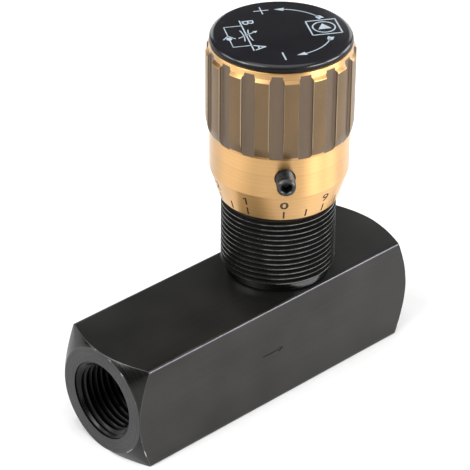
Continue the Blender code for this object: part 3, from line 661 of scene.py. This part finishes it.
def screw_black():
    """Black oxide socket screw."""
    material, shader = new_material("black_oxide_screw", (0.03, 0.03, 0.03), 0.34, 0.8)
    grain = noise(material, 1500)
    colour = tint(material, grain, (0.026, 0.026, 0.027), (0.058, 0.058, 0.060))
    wire_up(material, shader, colour, spread(material, grain, 0.28, 0.42))
    bump(material, shader, [grain], 0.000005, 0.3)
    return material


def steel(name, colour, roughness, axis="Z", offset=(0, 0, 0)):
    """Bare turned or ground steel for the inner pieces."""
    material, shader = new_material(name, colour, roughness, 1.0)
    rings = turned_lines(material, 2000, axis, offset)
    dark = tuple(0.82 * value for value in colour)
    roughness = spread(material, rings, roughness - 0.06, roughness + 0.06)
    wire_up(material, shader, tint(material, rings, dark, colour), roughness)
    bump(material, shader, [rings], 0.000004, 0.3)
    return material


def rubber():
    material, shader = new_material("seal_rubber", (0.015, 0.015, 0.015), 0.6, 0.0)
    grain = noise(material, 1200)
    roughness = spread(material, grain, 0.5, 0.66)
    wire_up(material, shader, tint(material, grain, (0.010, 0.010, 0.010), (0.022, 0.022, 0.022)), roughness)
    bump(material, shader, [grain], 0.000006, 0.4)
    return material


def ptfe():
    material, shader = new_material("white_ptfe", (0.8, 0.8, 0.78), 0.45, 0.0)
    grain = noise(material, 900)
    roughness = spread(material, grain, 0.4, 0.5)
    wire_up(material, shader, tint(material, grain, (0.74, 0.74, 0.72), (0.84, 0.84, 0.82)), roughness)
    bump(material, shader, [grain], 0.000004, 0.3)
    return material


GROUND = black_ground()
ENDS = black_turned()
EDGES = black_edge()
CORNERS = turned_edge()
SHADED_BORE = black_bore()
NECK = neck_black()
CREST = worn_crest()
FOOT = neck_foot()
CONES = turned_cone()
GOLD = gold_turned()
GRIP = grip_brown("grip_anodised", (0.126, 0.078, 0.034), (0.172, 0.104, 0.044))
# Lighter brown for the ridge bevels: partly worn edges, partly painted highlight.
RIDGE_WEAR_AND_HIGHLIGHT = grip_brown("ridge_edges_wear_and_highlight", (0.26, 0.19, 0.12), (0.42, 0.32, 0.21))
FLUTE = grip_brown("flute_anodised", (0.108, 0.074, 0.047), (0.145, 0.099, 0.061))
CAP = cap_plastic()
CAP_SIDE = cap_matt()
INK = cap_ink()
DIAL = dial_paint()
SCREW = screw_black()
SPINDLE = steel("turned_spindle", (0.56, 0.56, 0.57), 0.28, "Z", NECK_AXIS)
HARD = steel("hardened_steel", (0.46, 0.46, 0.48), 0.25, "Z", NECK_AXIS)
CHECK = steel("check_steel", (0.46, 0.46, 0.48), 0.25, "X", (0, 0, CHECK_Z))
SPRING = steel("spring_wire", (0.40, 0.40, 0.41), 0.3, "X", (0, 0, CHECK_Z))
ZINC = steel("zinc_plate", (0.66, 0.67, 0.70), 0.3, "Z", NECK_AXIS)
BRASS = steel("brass_pad", (0.78, 0.58, 0.26), 0.3, "Z", NECK_AXIS)
RUBBER = rubber()
PTFE = ptfe()


def finish_piece(obj, material, body, slot, *nodes):
    """Gives a piece its material and body, and lets it stand for its CAD nodes; slot is not used."""
    if material is not None:
        obj.data.materials.clear()
        coat(obj, material)
    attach(obj, body)
    if nodes:
        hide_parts(*nodes)
    return obj


# ---------------------------------------------------------------- valve body

def bar_outline():
    """Cross-section of the bar about its middle: flats in even steps, corners rounded off."""
    points = []
    flat_steps = 36
    corner_steps = 4
    straight = HALF_SIDE - LONG_EDGE
    for side in range(4):
        turn = Matrix.Rotation(side * math.pi / 2, 2)
        for step in range(flat_steps + 1):
            along = straight * (2 * step / flat_steps - 1)
            points.append((turn @ Vector((HALF_SIDE, along)), False))
        for step in range(1, corner_steps):
            angle = math.pi / 2 * step / corner_steps
            corner = Vector((straight + LONG_EDGE * math.cos(angle), straight + LONG_EDGE * math.sin(angle)))
            points.append((turn @ corner, True))
    return points


def half_bar_rings(point):
    """(distance from the middle, share of the outline radius) from the end face's rim inwards."""
    radius = point.length
    corner = (HALF_SIDE - LONG_EDGE * (1 - math.sqrt(0.5))) * math.sqrt(2)
    slope = END_CONE_LENGTH / (corner - END_FACE_RADIUS)
    width = radius - END_FACE_RADIUS
    face_edge = min(0.10 * MM, 0.3 * width)
    side_edge = min(0.14 * MM, 0.3 * width)
    setback = slope * width
    return [
        (END_X, END_FACE_RADIUS - face_edge),
        (END_X - 0.12 * slope * face_edge, END_FACE_RADIUS + 0.1 * face_edge),
        (END_X - slope * face_edge, END_FACE_RADIUS + face_edge),
        (END_X - setback + slope * side_edge, radius - side_edge),
        (END_X - setback - 0.1 * side_edge, radius - 0.12 * side_edge),
        (END_X - setback - side_edge, radius),
    ]


def build_bar():
    """The bar as a loft along X between two turned ends."""
    bm = bmesh.new()
    outline = bar_outline()
    rings = []
    for end in (-1, 1):
        order = range(END_RINGS) if end < 0 else reversed(range(END_RINGS))
        for index in order:
            ring = []
            for point, _ in outline:
                along, radius = half_bar_rings(point)[index]
                spot = point.normalized() * radius
                ring.append(bm.verts.new((end * along, spot.x, PORT_Z + spot.y)))
            rings.append(ring)
    count = len(outline)
    skins = [GROUND, ENDS, EDGES, SHADED_BORE, CORNERS, CONES]
    side = len(rings) // 2 - 1
    for place, (first, second) in enumerate(zip(rings, rings[1:])):
        for step in range(count):
            after = (step + 1) % count
            face = bm.faces.new((first[step], first[after], second[after], second[step]))
            on_corner = outline[step][1] or outline[after][1]
            # Painted light on the bar: the cones are darker as painted shade, the long edges paler as partly
            # a painted highlight, and the corner rings carry partly painted glints.
            if abs(place - side) == 3:
                skin = CONES
            elif place == side:
                skin = EDGES if on_corner else GROUND
            else:
                skin = CORNERS
            face.material_index = skins.index(skin)
    for ring in (rings[0], rings[-1]):
        bm.faces.new(ring).material_index = skins.index(ENDS)
    bar = object_from(bm, "valve_body_shell", BAR_SMOOTH)
    coat(bar, *skins)
    return bar


def port_tools(side):
    """Thread groove and bore of one port, with local Z out of its mouth."""
    turn = Matrix.Translation((side * END_X, 0, PORT_Z)) @ Matrix.Rotation(side * math.pi / 2, 4, "Y")
    section = inner_thread_section(PORT_MINOR, PORT_MAJOR, PORT_PITCH)
    low = -PORT_DEPTH + PORT_RELIEF_LENGTH * 0.35
    turns = (-low + 0.6 * MM) / PORT_PITCH
    groove = helix_groove("port_groove", section, PORT_PITCH, low, turns)
    step = 0.4 * MM
    mouth = step + PORT_LAND - PORT_MINOR
    out = 1 * MM
    ramp = PORT_RELIEF - PORT_MINOR
    floor = -PORT_DEPTH + PORT_RELIEF_LENGTH
    bore = lathe("port_bore", [
        (0, out), (PORT_MOUTH, out), (PORT_MOUTH, -step), (PORT_LAND, -step, 0.1 * MM),
        (PORT_MINOR, -mouth), (PORT_MINOR, floor),
        (PORT_RELIEF, floor - ramp), (PORT_RELIEF, -PORT_DEPTH), (0, -PORT_DEPTH),
    ], 96)
    for tool in (groove, bore):
        set_place(tool, turn)
        coat(tool, SHADED_BORE)
    return groove, bore


def drilling_tools():
    """Cavity below the neck and the drillings between the ports, as in the frame's body."""
    steps = ((12.6, 31), (12.6, 27.8), (11, 27.8), (11, 12), (6, 12), (6, 8.3), (4, 8.3), (4, 3))
    outline = [(radius * MM, height * MM) for radius, height in steps]
    cavity = lathe("cavity", [(0, outline[0][1]), *outline, (0, outline[-1][1])], 72)
    set_place(cavity, Matrix.Translation(NECK_AXIS))
    floor = END_X - PORT_DEPTH
    along_x = Matrix.Rotation(math.pi / 2, 4, "Y")
    outlet = cylinder("outlet", 5.5 * MM, NECK_X, floor + MM)
    set_place(outlet, Matrix.Translation((0, 0, 17.75 * MM)) @ along_x)
    wide = 4.75 * MM
    slim = 3 * MM
    mouth = -floor - MM
    check_bore = lathe("check_bore", [
        (0, NECK_X / 2), (slim, NECK_X / 2), (slim, CHECK_BORE_END_X), (wide, CHECK_BORE_END_X),
        (wide, mouth), (0, mouth),
    ], 48)
    set_place(check_bore, Matrix.Translation((0, 0, CHECK_Z)) @ along_x)
    fall = 5.1 * MM
    run = NECK_X + floor
    feed = cylinder("feed", 2.6 * MM, -MM, math.hypot(run, fall), 32)
    slant = Matrix.Rotation(math.pi / 2 + math.atan2(fall, run), 4, "Y")
    set_place(feed, Matrix.Translation((-floor, 0, 10 * MM)) @ slant)
    tools = [cavity, outlet, check_bore, feed]
    for tool in tools:
        coat(tool, SHADED_BORE)
    return tools


def front_stamp():
    """A faint, plain flow arrow on the front face."""
    shaft = 3.6 * MM
    head = 1.6 * MM
    thin = 0.2 * MM
    depth = 0.16 * MM
    outline = [
        (-shaft, -thin), (shaft - head, -thin), (shaft - head, -head * 0.6), (shaft, 0),
        (shaft - head, head * 0.6), (shaft - head, thin), (-shaft, thin),
    ]
    stamp = prism("stamp_arrow", outline, -depth / 2, depth / 2)
    face = Matrix.Translation((-2 * MM, -HALF_SIDE, PORT_Z + 1 * MM)) @ Matrix.Rotation(math.pi / 2, 4, "X")
    set_place(stamp, face)
    # The stamp's cut faces take the near-black bore colour: painted shade in the stamp.
    coat(stamp, SHADED_BORE)
    return stamp


def build_valve_body():
    bar = build_bar()
    combine(bar, *port_tools(-1), *port_tools(1), *drilling_tools(), front_stamp())
    finish_piece(bar, None, "valve_body", "blackened_body", "valve_body")


# ---------------------------------------------------------------- bonnet

def build_bonnet():
    """Threaded neck, run-out groove, chamfered top and the ringed sleeve under the knob."""
    base = BODY_HIGH.z + 0.3 * MM
    relief = NECK_RELIEF_RADIUS
    chamfer = 1.3 * MM
    ring_depth = 0.15 * MM
    top = NECK_TOP_Z
    sleeve_top = 80 * MM
    clear = 7 * MM
    stem = 5.2 * MM
    gland = 6.3 * MM
    gland_low = 33.7 * MM
    gland_high = 47.8 * MM
    thread = 4.9 * MM
    skirt = 10.7 * MM
    skirt_low = 23.6 * MM
    waist = 10.5 * MM
    outline = [(clear, sleeve_top, 0.2 * MM), (SLEEVE_RADIUS, sleeve_top, 0.6 * MM)]
    for turn in range(5):
        ring_z = 58.8 * MM - turn * MM
        outline += [
            (SLEEVE_RADIUS, ring_z + 0.2 * MM), (SLEEVE_RADIUS - ring_depth, ring_z + 0.1 * MM),
            (SLEEVE_RADIUS - ring_depth, ring_z - 0.1 * MM), (SLEEVE_RADIUS, ring_z - 0.2 * MM),
        ]
    outline += [
        (SLEEVE_RADIUS, top, 0.15 * MM), (NECK_RADIUS - chamfer, top, 0.12 * MM),
        (NECK_RADIUS, top - chamfer, 0.12 * MM), (NECK_RADIUS, NECK_RELIEF_TOP_Z + 0.6 * MM, 0.05 * MM),
        (relief, NECK_RELIEF_TOP_Z, 0.3 * MM), (relief, base, 0.1 * MM), (waist, base, 0.1 * MM),
        (waist, 27.8 * MM), (skirt, 27.2 * MM), (skirt, skirt_low, 0.4 * MM),
        (thread, skirt_low), (thread, gland_low), (gland, gland_low), (gland, gland_high),
        (stem, gland_high), (stem, 62 * MM), (clear, 62 * MM),
    ]
    bonnet = lathe("threaded_neck", outline, FINE, closed=True)
    coat(bonnet, NECK, CREST, FOOT)
    # Crest faces get the paler crest skin: worn metal and painted highlight.
    for face in bonnet.data.polygons:
        reach = math.hypot(face.center.x, face.center.y)
        if reach > NECK_RADIUS - 0.08 * MM:
            face.material_index = 1
        elif reach > relief - 0.5 * MM and face.center.z < NECK_RELIEF_TOP_Z:
            face.material_index = 2
    section = outer_thread_section(NECK_RADIUS, NECK_ROOT, NECK_PITCH, NECK_CREST)
    start = NECK_RELIEF_TOP_Z - 0.47 * NECK_PITCH
    turns = (top - start) / NECK_PITCH
    groove = helix_groove("neck_groove", section, NECK_PITCH, start, turns)
    coat(groove, NECK)
    hole = cylinder("dowel_hole", 1.3 * MM, 2.5 * MM, 12 * MM, 32)
    set_place(hole, Matrix.Translation((0, 0, 26.5 * MM)) @ Matrix.Rotation(-math.pi / 2, 4, "Y"))
    coat(hole, NECK)
    combine(bonnet, groove, hole)
    set_place(bonnet, Matrix.Translation(NECK_AXIS))
    finish_piece(bonnet, None, "valve_body", "blackened_neck", "bonnet")


# ---------------------------------------------------------------- knob

def groove_bar(low, high):
    """One flute: a shallow channel with a floor concentric to the knob and rounded inner corners."""
    half = GROOVE_HALF_WIDTH
    over = 1 * MM
    bevel = RIDGE_BEVEL
    lip = math.sqrt(RIDGE_RADIUS ** 2 - half ** 2)
    floor = [(-half + GROOVE_FILLET) + (2 * (half - GROOVE_FILLET)) * step / 4 for step in range(5)]
    corner_steps = 4
    corner = []
    for step in range(corner_steps):
        angle = math.pi / 2 * step / corner_steps
        rise = GROOVE_FILLET * (1 - math.sin(angle))
        corner.append((GROOVE_RADIUS + rise, half - GROOVE_FILLET * (1 - math.cos(angle))))
    points = [(lip + over, -half - bevel - over), (lip - bevel, -half)]
    points += [(radius, -across) for radius, across in corner]
    points += [(math.sqrt(GROOVE_RADIUS ** 2 - across ** 2), across) for across in floor]
    points += corner[::-1]
    points += [(lip - bevel, half), (lip + over, half + bevel + over)]
    return prism("flute", points, low, high)


def flute_tool():
    bars = []
    for index in range(FLUTES):
        bar = groove_bar(GRIP_Z - 2 * MM, KNOB_TOP_Z + 1 * MM)
        set_place(bar, Matrix.Rotation(FIRST_FLUTE + 2 * math.pi * index / FLUTES, 4, "Z"))
        bars.append(bar)
    tool = joined("flutes", bars)
    coat(tool, GRIP)
    return tool


def cone_place(angle, along):
    """Frame on the dial cone at an angle and a distance up its slant: X right, Y up, Z out."""
    outward = Vector((math.cos(angle), math.sin(angle), 0))
    right = Vector((-math.sin(angle), math.cos(angle), 0))
    slant = Vector((BAND_RADIUS - KNOB_FOOT_RADIUS, BAND_Z - KNOB_FOOT_Z)).normalized()
    up = outward * slant.x + Vector((0, 0, slant.y))
    spot = outward * KNOB_FOOT_RADIUS + Vector((0, 0, KNOB_FOOT_Z)) + up * along
    matrix = Matrix((right, up, right.cross(up))).transposed().to_4x4()
    matrix.translation = spot
    return matrix


def dial_figure(value):
    """One bold figure of the dial, reading along X; the 1 is a bar with a flag."""
    tall = 2.6 * MM
    deep = 0.6 * MM
    if value != 1:
        widening = 1.32
        thickening = 0.1 * MM if value == 0 else 0.04 * MM
        return lettering("number", str(value), tall, deep, widening, thickening)
    half = tall / 2
    bar = 0.26 * MM
    flag = 0.85 * MM
    drop = 0.6 * MM
    outline = [
        (-bar, -half), (bar, -half), (bar, half), (-0.5 * bar, half),
        (-flag, half - drop), (-flag, half - 1.75 * drop), (-bar, half - drop),
    ]
    return prism("number", outline, -deep / 2, deep / 2)


def dial_tool():
    """Numbers 0 to 9 with a tick under each and one between, but no tick between 0 and 1."""
    marks = []
    deep = 0.3 * MM
    wide = 0.24 * MM
    tall = 1.3 * MM
    tick = [(-wide, -tall), (wide, -tall), (wide, tall), (-wide, tall)]
    for index in (0, *range(2, 20)):
        angle = LOCK_ANGLE - DIAL_STEP * index + (DIAL_LEAD if index else 0)
        mark = prism("tick", tick, -deep / 2, deep)
        set_place(mark, cone_place(angle, 1.9 * MM))
        marks.append(mark)
        if index % 2 == 0:
            number = dial_figure(index // 2)
            set_place(number, cone_place(angle, 5.5 * MM) @ Matrix.Translation((0, 0, deep * 0.5)))
            marks.append(number)
    tool = joined("dial_marks", marks)
    coat(tool, DIAL)
    return tool


def build_knob():
    lip = 0.25 * MM
    screw_hole = 3.8 * MM
    stem = 5.2 * MM
    pin_room = 8.3 * MM
    bore = 12 * MM
    ring_groove = 13.35 * MM
    ring_low = 56.6 * MM
    ring_high = 58.8 * MM
    recess = 14.5 * MM
    web_low = 84 * MM
    web_step = 86.6 * MM
    stem_top = 88.3 * MM
    web_top = 93 * MM
    outline = [
        (screw_hole, web_top, 0.2 * MM), (recess, web_top, 0.3 * MM), (recess, KNOB_TOP_Z, 0.2 * MM),
        (BAND_RADIUS, KNOB_TOP_Z, lip), (SHOULDER_RADIUS, SHOULDER_Z, 0.1 * MM),
        (RIDGE_RADIUS, GRIP_TOP_Z, 0.25 * MM), (RIDGE_RADIUS, GRIP_Z + GRIP_TAPER, 3 * MM),
        (RIDGE_RADIUS - 0.45 * MM, GRIP_Z + SLIVER), (GROOVE_RADIUS + 0.02 * MM, GRIP_Z + 0.1 * MM),
        (BAND_RADIUS, GRIP_Z),
        (BAND_RADIUS, BAND_Z, 0.25 * MM), (KNOB_FOOT_RADIUS, KNOB_FOOT_Z, 0.15 * MM),
        (bore, KNOB_FOOT_Z, 0.2 * MM), (bore, ring_low), (ring_groove, ring_low),
        (ring_groove, ring_high), (bore, ring_high), (bore, web_step, 0.4 * MM),
        (pin_room, web_step), (pin_room, web_low, 0.3 * MM), (stem, web_low),
        (stem, stem_top), (screw_hole, stem_top),
    ]
    knob = lathe("dial_knob", outline, 240, closed=True)
    coat(knob, GOLD)
    hole = cylinder("lock_hole", 2.75 * MM, 11 * MM, 20 * MM, 64)
    set_place(hole, lock_frame())
    coat(hole, GOLD)
    slot = box_solid("drive_slot", (-9.5 * MM, -1.5 * MM, 83 * MM), (9.5 * MM, 1.5 * MM, 87.1 * MM))
    coat(slot, GOLD)
    combine(knob, flute_tool(), hole, slot)
    combine(knob, dial_tool())
    paint_grip(knob)
    set_place(knob, Matrix.Translation(NECK_AXIS))
    finish_piece(knob, None, "adjusting_knob", "gold_aluminium", "adjusting_knob")


def paint_grip(knob):
    """The upright faces of the ridges and flutes keep the matt skin, with a lighter skin on the ridge bevels
    that is partly wear and partly painted highlight; turned faces are gold.
    """
    coat(knob, FLUTE, RIDGE_WEAR_AND_HIGHLIGHT)
    names = [material.name for material in knob.data.materials]
    grip = names.index(GRIP.name)
    gold = names.index(GOLD.name)
    flute = names.index(FLUTE.name)
    wear_and_highlight = names.index(RIDGE_WEAR_AND_HIGHLIGHT.name)
    for face in knob.data.polygons:
        place = face.center
        upright = abs(face.normal.z) < 0.03
        tapered = GRIP_Z + SLIVER < place.z < GRIP_TOP_Z - SLIVER
        reach = math.hypot(place.x, place.y)
        if GRIP_Z < place.z < SHOULDER_Z and reach > GROOVE_RADIUS - 0.3 * MM:
            skin = flute if reach < GROOVE_RADIUS + 0.5 * MM else grip
            outward = (face.normal.x * place.x + face.normal.y * place.y) / reach
            if RIDGE_RADIUS - RIDGE_BEVEL - 0.1 * MM < reach and 0.4 < outward < 0.9:
                skin = wear_and_highlight
            face.material_index = skin if upright or tapered else gold


def lock_frame():
    """Local Z points out along the locking screw, from the knob's axis."""
    return (Matrix.Translation((0, 0, LOCK_Z)) @ Matrix.Rotation(LOCK_ANGLE, 4, "Z")
            @ Matrix.Rotation(math.pi / 2, 4, "Y"))


def build_lock_screw():
    tip = 23.4 * MM
    foot = 13.6 * MM
    radius = 2.48 * MM
    pitch = 0.8 * MM
    screw = lathe("socket_set_screw", [
        (0, tip), (2.05 * MM, tip, 0.08 * MM), (radius, tip - 0.45 * MM, 0.08 * MM),
        (radius, foot + 0.5 * MM), (2 * MM, foot, 0.05 * MM), (0, foot),
    ], TURNED)
    coat(screw, SCREW)
    section = outer_thread_section(radius, radius - 0.4 * MM, pitch, 0.16 * MM)
    turns = 12.4
    groove = helix_groove("lock_groove", section, pitch, foot - 0.6 * MM, turns, 48)
    coat(groove, SCREW)
    socket = hexagon("lock_socket", 2.7 * MM, tip - 2.5 * MM, tip + MM)
    coat(socket, SCREW)
    over = tip + 0.2 * MM
    under = tip - 0.3 * MM
    rim = lathe("socket_rim", [(0, over), (1.85 * MM, over), (1.35 * MM, under), (0, under)], 48)
    coat(rim, SCREW)
    combine(screw, groove, socket, rim)
    set_place(screw, Matrix.Translation(NECK_AXIS) @ lock_frame())
    finish_piece(screw, None, "lock_screw", "black_screw", "lock_screw")


# ---------------------------------------------------------------- cap

def build_cap():
    radius = CAP_RADIUS
    top = CAP_HIGH.z
    low = KNOB_TOP_Z + 0.3 * MM
    rim_out = 14.2 * MM
    rim_in = 12.6 * MM
    rim_z = 94.6 * MM
    cap = lathe("knob_cap_disc", [
        (0, top), (radius, top, 1.35 * MM), (radius, low, 0.35 * MM), (rim_out, low),
        (rim_out, rim_z, 0.3 * MM), (rim_in, rim_z, 0.3 * MM), (rim_in, low), (0, low),
    ], FINE)
    coat(cap, CAP, CAP_SIDE)
    # The lower fillet and the side take the darker plastic: painted shade.
    for face in cap.data.polygons:
        on_side = face.normal.z < 0.42 and math.hypot(face.center.x, face.center.y) > rim_out
        if on_side:
            face.material_index = 1
    set_place(cap, Matrix.Translation(NECK_AXIS))
    finish_piece(cap, None, "adjusting_knob", "black_cap", "knob_cap")


def stroke(points, width, closed=False):
    """A flat line of one width through the points, with square ends."""
    left = []
    right = []
    count = len(points)
    for index, point in enumerate(points):
        before = Vector(points[index - 1] if index or closed else point)
        after = Vector(points[(index + 1) % count] if index < count - 1 or closed else point)
        along = (after - before).normalized()
        side = Vector((-along.y, along.x)) * width / 2
        left.append(Vector(point) + side)
        right.append(Vector(point) - side)
    if not closed:
        return [[(p.x, p.y) for p in left + right[::-1]]]
    quads = []
    for index in range(count):
        after = (index + 1) % count
        quads.append([(p.x, p.y) for p in (left[index], left[after], right[after], right[index])])
    return quads


def arc_points(centre, radius, start, end, steps=24):
    points = []
    for step in range(steps + 1):
        angle = math.radians(start + (end - start) * step / steps)
        points.append((centre[0] + radius * math.cos(angle), centre[1] + radius * math.sin(angle)))
    return points


# Layout on the cap: X to the right and Y away from the viewer at the photo's angle
ARROW_RADIUS = 13.2 * MM
LINE = 0.30 * MM
TILT = 13.2  # degrees that the whole print is turned, seen from above
SYMBOL_SHIFT = Vector((-9.1 * MM, 0.05 * MM))


def turn_arrow(radius, start, end):
    """A curved arrow from the start angle to the end angle, with a notched tail and a slim head."""
    sign = 1 if end > start else -1
    head = 11 * sign
    tail = 10.5 * sign
    shapes = stroke(arc_points((0, 0), radius, start + tail / 2, end - head), LINE)

    def spot(angle, out):
        turn = math.radians(angle)
        return ((radius + out) * math.cos(turn), (radius + out) * math.sin(turn))

    wide = 0.85 * MM
    shapes.append([spot(end, 0), spot(end - head, -wide), spot(end - head, wide)])
    flight = 0.8 * MM
    shapes.append([
        spot(start + tail, 0), spot(start + 0.6 * tail, flight), spot(start, flight),
        spot(start + 0.14 * tail, 0), spot(start, -flight), spot(start + 0.6 * tail, -flight),
    ])
    return shapes


def restrictor_symbol():
    """The one-way restrictor sign: a throttled line with a check valve round it."""
    half = 8.4 * MM
    side = -4.7 * MM
    level = 5.5 * MM
    apex = 0.6 * MM
    ball = 0.75 * MM
    low = apex - 3.1 * ball
    shapes = stroke([(0, -half), (0, half)], 1.2 * LINE)
    shapes += stroke([(0, level), (side, level), (side, apex)], LINE)
    shapes += stroke([(side, low), (side, -level), (0, -level)], LINE)
    vee = 1.6 * MM
    for sign in (-1, 1):
        shapes += stroke([(side, apex), (side + sign * vee, apex - 1.8 * MM)], LINE)
    shapes.append(arc_points((side, apex - 2.1 * ball), ball, 0, 345, 23))
    bend = 12 * MM
    for sign in (-1, 1):
        middle = 180 if sign > 0 else 0
        centre = (sign * (0.7 * MM + bend), 0)
        shapes += stroke(arc_points(centre, bend, middle - 14.5, middle + 14.5, 12), LINE)
    tip = Vector((3.3 * MM, 2.0 * MM))
    tail = Vector((-2.3 * MM, -1.1 * MM))
    along = (tip - tail).normalized()
    across = Vector((-along.y, along.x))
    neck = tip - along * 1.2 * MM
    shapes += stroke([tuple(tail), tuple(neck)], LINE)
    shapes.append([tuple(tip), tuple(neck + across * 0.6 * MM), tuple(neck - across * 0.6 * MM)])
    return shapes


def generic_mark():
    """A plain square frame round a ring and a solid triangle, the sign for fluid energy."""
    centre = Vector((11.3 * MM, 0.5 * MM))
    half = 3.9 * MM
    frame_line = 0.38 * MM
    signs = ((-1, -1), (1, -1), (1, 1), (-1, 1))
    corners = [(centre.x + x * half, centre.y + y * half) for x, y in signs]
    shapes = []
    for index in range(4):
        shapes += stroke([corners[index], corners[(index + 1) % 4]], frame_line)
    shapes += stroke(arc_points(centre, 2.9 * MM, 0, 352.5, 47), frame_line, closed=True)
    shapes.append(arc_points(centre, 2.0 * MM, 90, 330, 2))
    return shapes


def plus_and_minus():
    """The signs at the arrows' ends, in the cap's own directions before the print's tilt."""
    arm = 2.0 * MM
    shapes = []
    plus = Vector((-2.3 * MM, 12.75 * MM))
    shapes += stroke([(plus.x - arm, plus.y), (plus.x + arm, plus.y)], LINE)
    shapes += stroke([(plus.x, plus.y - arm), (plus.x, plus.y - LINE / 2)], LINE)
    shapes += stroke([(plus.x, plus.y + LINE / 2), (plus.x, plus.y + arm)], LINE)
    minus = Vector((-2.45 * MM, -12.8 * MM))
    shapes += stroke([(minus.x, minus.y - arm), (minus.x, minus.y + arm)], 1.4 * LINE)
    return shapes


def ink_prisms(shapes, shift=(0, 0)):
    ink = 0.03 * MM
    pieces = [prism("ink", shape, 0, ink) for shape in shapes]
    for piece in pieces:
        set_place(piece, Matrix.Translation((*shift, 0)))
    return pieces


def build_print():
    """All the cap's printing as thin raised ink."""
    tilt = Matrix.Rotation(math.radians(TILT), 4, "Z")
    pieces = ink_prisms(restrictor_symbol(), SYMBOL_SHIFT)
    pieces += ink_prisms(generic_mark())
    pieces += ink_prisms(plus_and_minus())
    for text, y in (("B", 6.9 * MM), ("A", -6.9 * MM)):
        letter = lettering("letter", text, 3.0 * MM, 0.03 * MM)
        turn = Matrix.Rotation(-math.pi / 2, 4, "Z")
        spot = SYMBOL_SHIFT + Vector((2.0 * MM, y))
        set_place(letter, Matrix.Translation((*spot, 0.015 * MM)) @ turn)
        pieces.append(letter)
    pieces += ink_prisms(turn_arrow(ARROW_RADIUS, 25, 85), (0, -0.35 * MM))
    pieces += ink_prisms(turn_arrow(ARROW_RADIUS, -23, -85), (-0.35 * MM, 0.2 * MM))
    print_piece = joined("cap_printing", pieces)
    spin = Matrix.Rotation(math.radians(CAMERA_AZIMUTH), 4, "Z")
    lift = Matrix.Translation((NECK_X, 0, CAP_HIGH.z - 0.01 * MM))
    set_place(print_piece, lift @ spin @ tilt)
    finish_piece(print_piece, INK, "adjusting_knob", "black_cap")


# ---------------------------------------------------------------- inner pieces

def build_check_coil():
    """The check spring, wound from the poppet's end to the guide's end."""
    wire = 0.4 * MM
    mean = 2.9 * MM
    turns = 5
    poppet_end = -21.3 * MM
    guide_end = -13.7 * MM
    section = []
    for step in range(12):
        angle = 2 * math.pi * step / 12
        section.append((mean + wire * math.cos(angle), wire * math.sin(angle)))
    coil = helix_groove("check_coil", section, (guide_end - poppet_end) / turns, poppet_end, turns, 36)
    set_place(coil, Matrix.Translation((0, 0, CHECK_Z)) @ Matrix.Rotation(math.pi / 2, 4, "Y"))
    finish_piece(coil, SPRING, "valve_body", "spring_steel", "check_spring")
    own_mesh(coil)


def dress_inner_nodes():
    """The sealed pieces keep their CAD shapes and get their own finishes."""
    finishes = {
        "throttle_seat": HARD, "anti_turn_dowel": HARD, "throttle_pin": HARD, "knob_drive_pin": HARD,
        "check_seat": CHECK, "check_guide": CHECK, "check_poppet": CHECK,
        "throttle_spindle": SPINDLE, "knob_screw": ZINC, "knob_washer": ZINC, "lock_pad": BRASS,
        "spindle_backup_ring": PTFE, "bonnet_oring": RUBBER, "seat_oring": RUBBER,
        "spindle_oring": RUBBER, "knob_oring": RUBBER,
    }
    for node, material in finishes.items():
        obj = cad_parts[node]
        obj.data.materials.clear()
        coat(obj, material)


# ---------------------------------------------------------------- stage

def build_stage():
    floor = bpy.data.objects.new("floor", bpy.data.meshes.new("floor"))
    bm = bmesh.new()
    bmesh.ops.create_grid(bm, x_segments=1, y_segments=1, size=6)
    bm.to_mesh(floor.data)
    bm.free()
    floor.location = (0, 0, BODY_LOW.z - 0.05 * MM)
    show(floor)
    material, shader = new_material("floor_paper", (0.93, 0.93, 0.93), 0.9, 0.0)
    paper = noise(material, 300, detail=3)
    wire_up(material, shader, tint(material, paper, (0.92, 0.92, 0.92), (0.94, 0.94, 0.94)))
    coat(floor, material)


def build_world():
    world = bpy.data.worlds.new("studio")
    bpy.context.scene.world = world
    world.use_nodes = True
    background = world.node_tree.nodes["Background"]
    background.inputs["Color"].default_value = (1, 1, 1, 1)
    background.inputs["Strength"].default_value = 0.09


def away_at(azimuth, elevation):
    """Direction from the valve towards a viewer or light at that azimuth and elevation."""
    a = math.radians(azimuth)
    e = math.radians(elevation)
    return Vector((math.sin(a) * math.cos(e), -math.cos(a) * math.cos(e), math.sin(e)))


def soft_sun(name, bearing, elevation, angle, strength):
    """A broad soft source far away; bearing 0 stands behind the camera, 90 to the viewer's right."""
    data = bpy.data.lights.new(name, "SUN")
    data.angle = math.radians(angle)
    data.energy = strength
    light = bpy.data.objects.new(name, data)
    away = away_at(CAMERA_AZIMUTH + bearing, elevation)
    light.rotation_euler = away.to_track_quat("Z", "Y").to_euler()
    show(light)


def build_lights():
    soft_sun("ceiling", 0, 80, 60, 1.55)
    soft_sun("right_front", 55, 14, 26, 2.55)
    soft_sun("right_side", 85, 14, 26, 2.35)
    soft_sun("right_back", 120, 14, 26, 1.0)
    soft_sun("left_high", -50, 42, 36, 1.4)
    soft_sun("left_front", -65, 27, 20, 1.2)
    soft_sun("left_side", -90, 16, 26, 1.0)
    soft_sun("back_right", 160, 14, 26, 0.4)
    soft_sun("back_left", -160, 14, 26, 0.4)


def build_camera():
    data = bpy.data.cameras.new("camera")
    data.lens = CAMERA_LENS
    data.clip_start = 0.01
    camera = bpy.data.objects.new("camera", data)
    back = away_at(CAMERA_AZIMUTH, CAMERA_ELEVATION)
    right = Vector((0, 0, 1)).cross(back).normalized()
    up = back.cross(right)
    pose = Matrix((right, up, back)).transposed() @ Matrix.Rotation(math.radians(CAMERA_ROLL), 3, "Z")
    camera.matrix_world = Matrix.Translation(CAMERA_PLACE) @ pose.to_4x4()
    show(camera)
    bpy.context.scene.camera = camera


build_valve_body()
build_bonnet()
build_knob()
build_lock_screw()
build_cap()
build_print()
build_check_coil()
dress_inner_nodes()
build_stage()
build_world()
build_lights()
build_camera()
bpy.context.scene.view_settings.view_transform = "Standard"

bpy.context.view_layer.update()
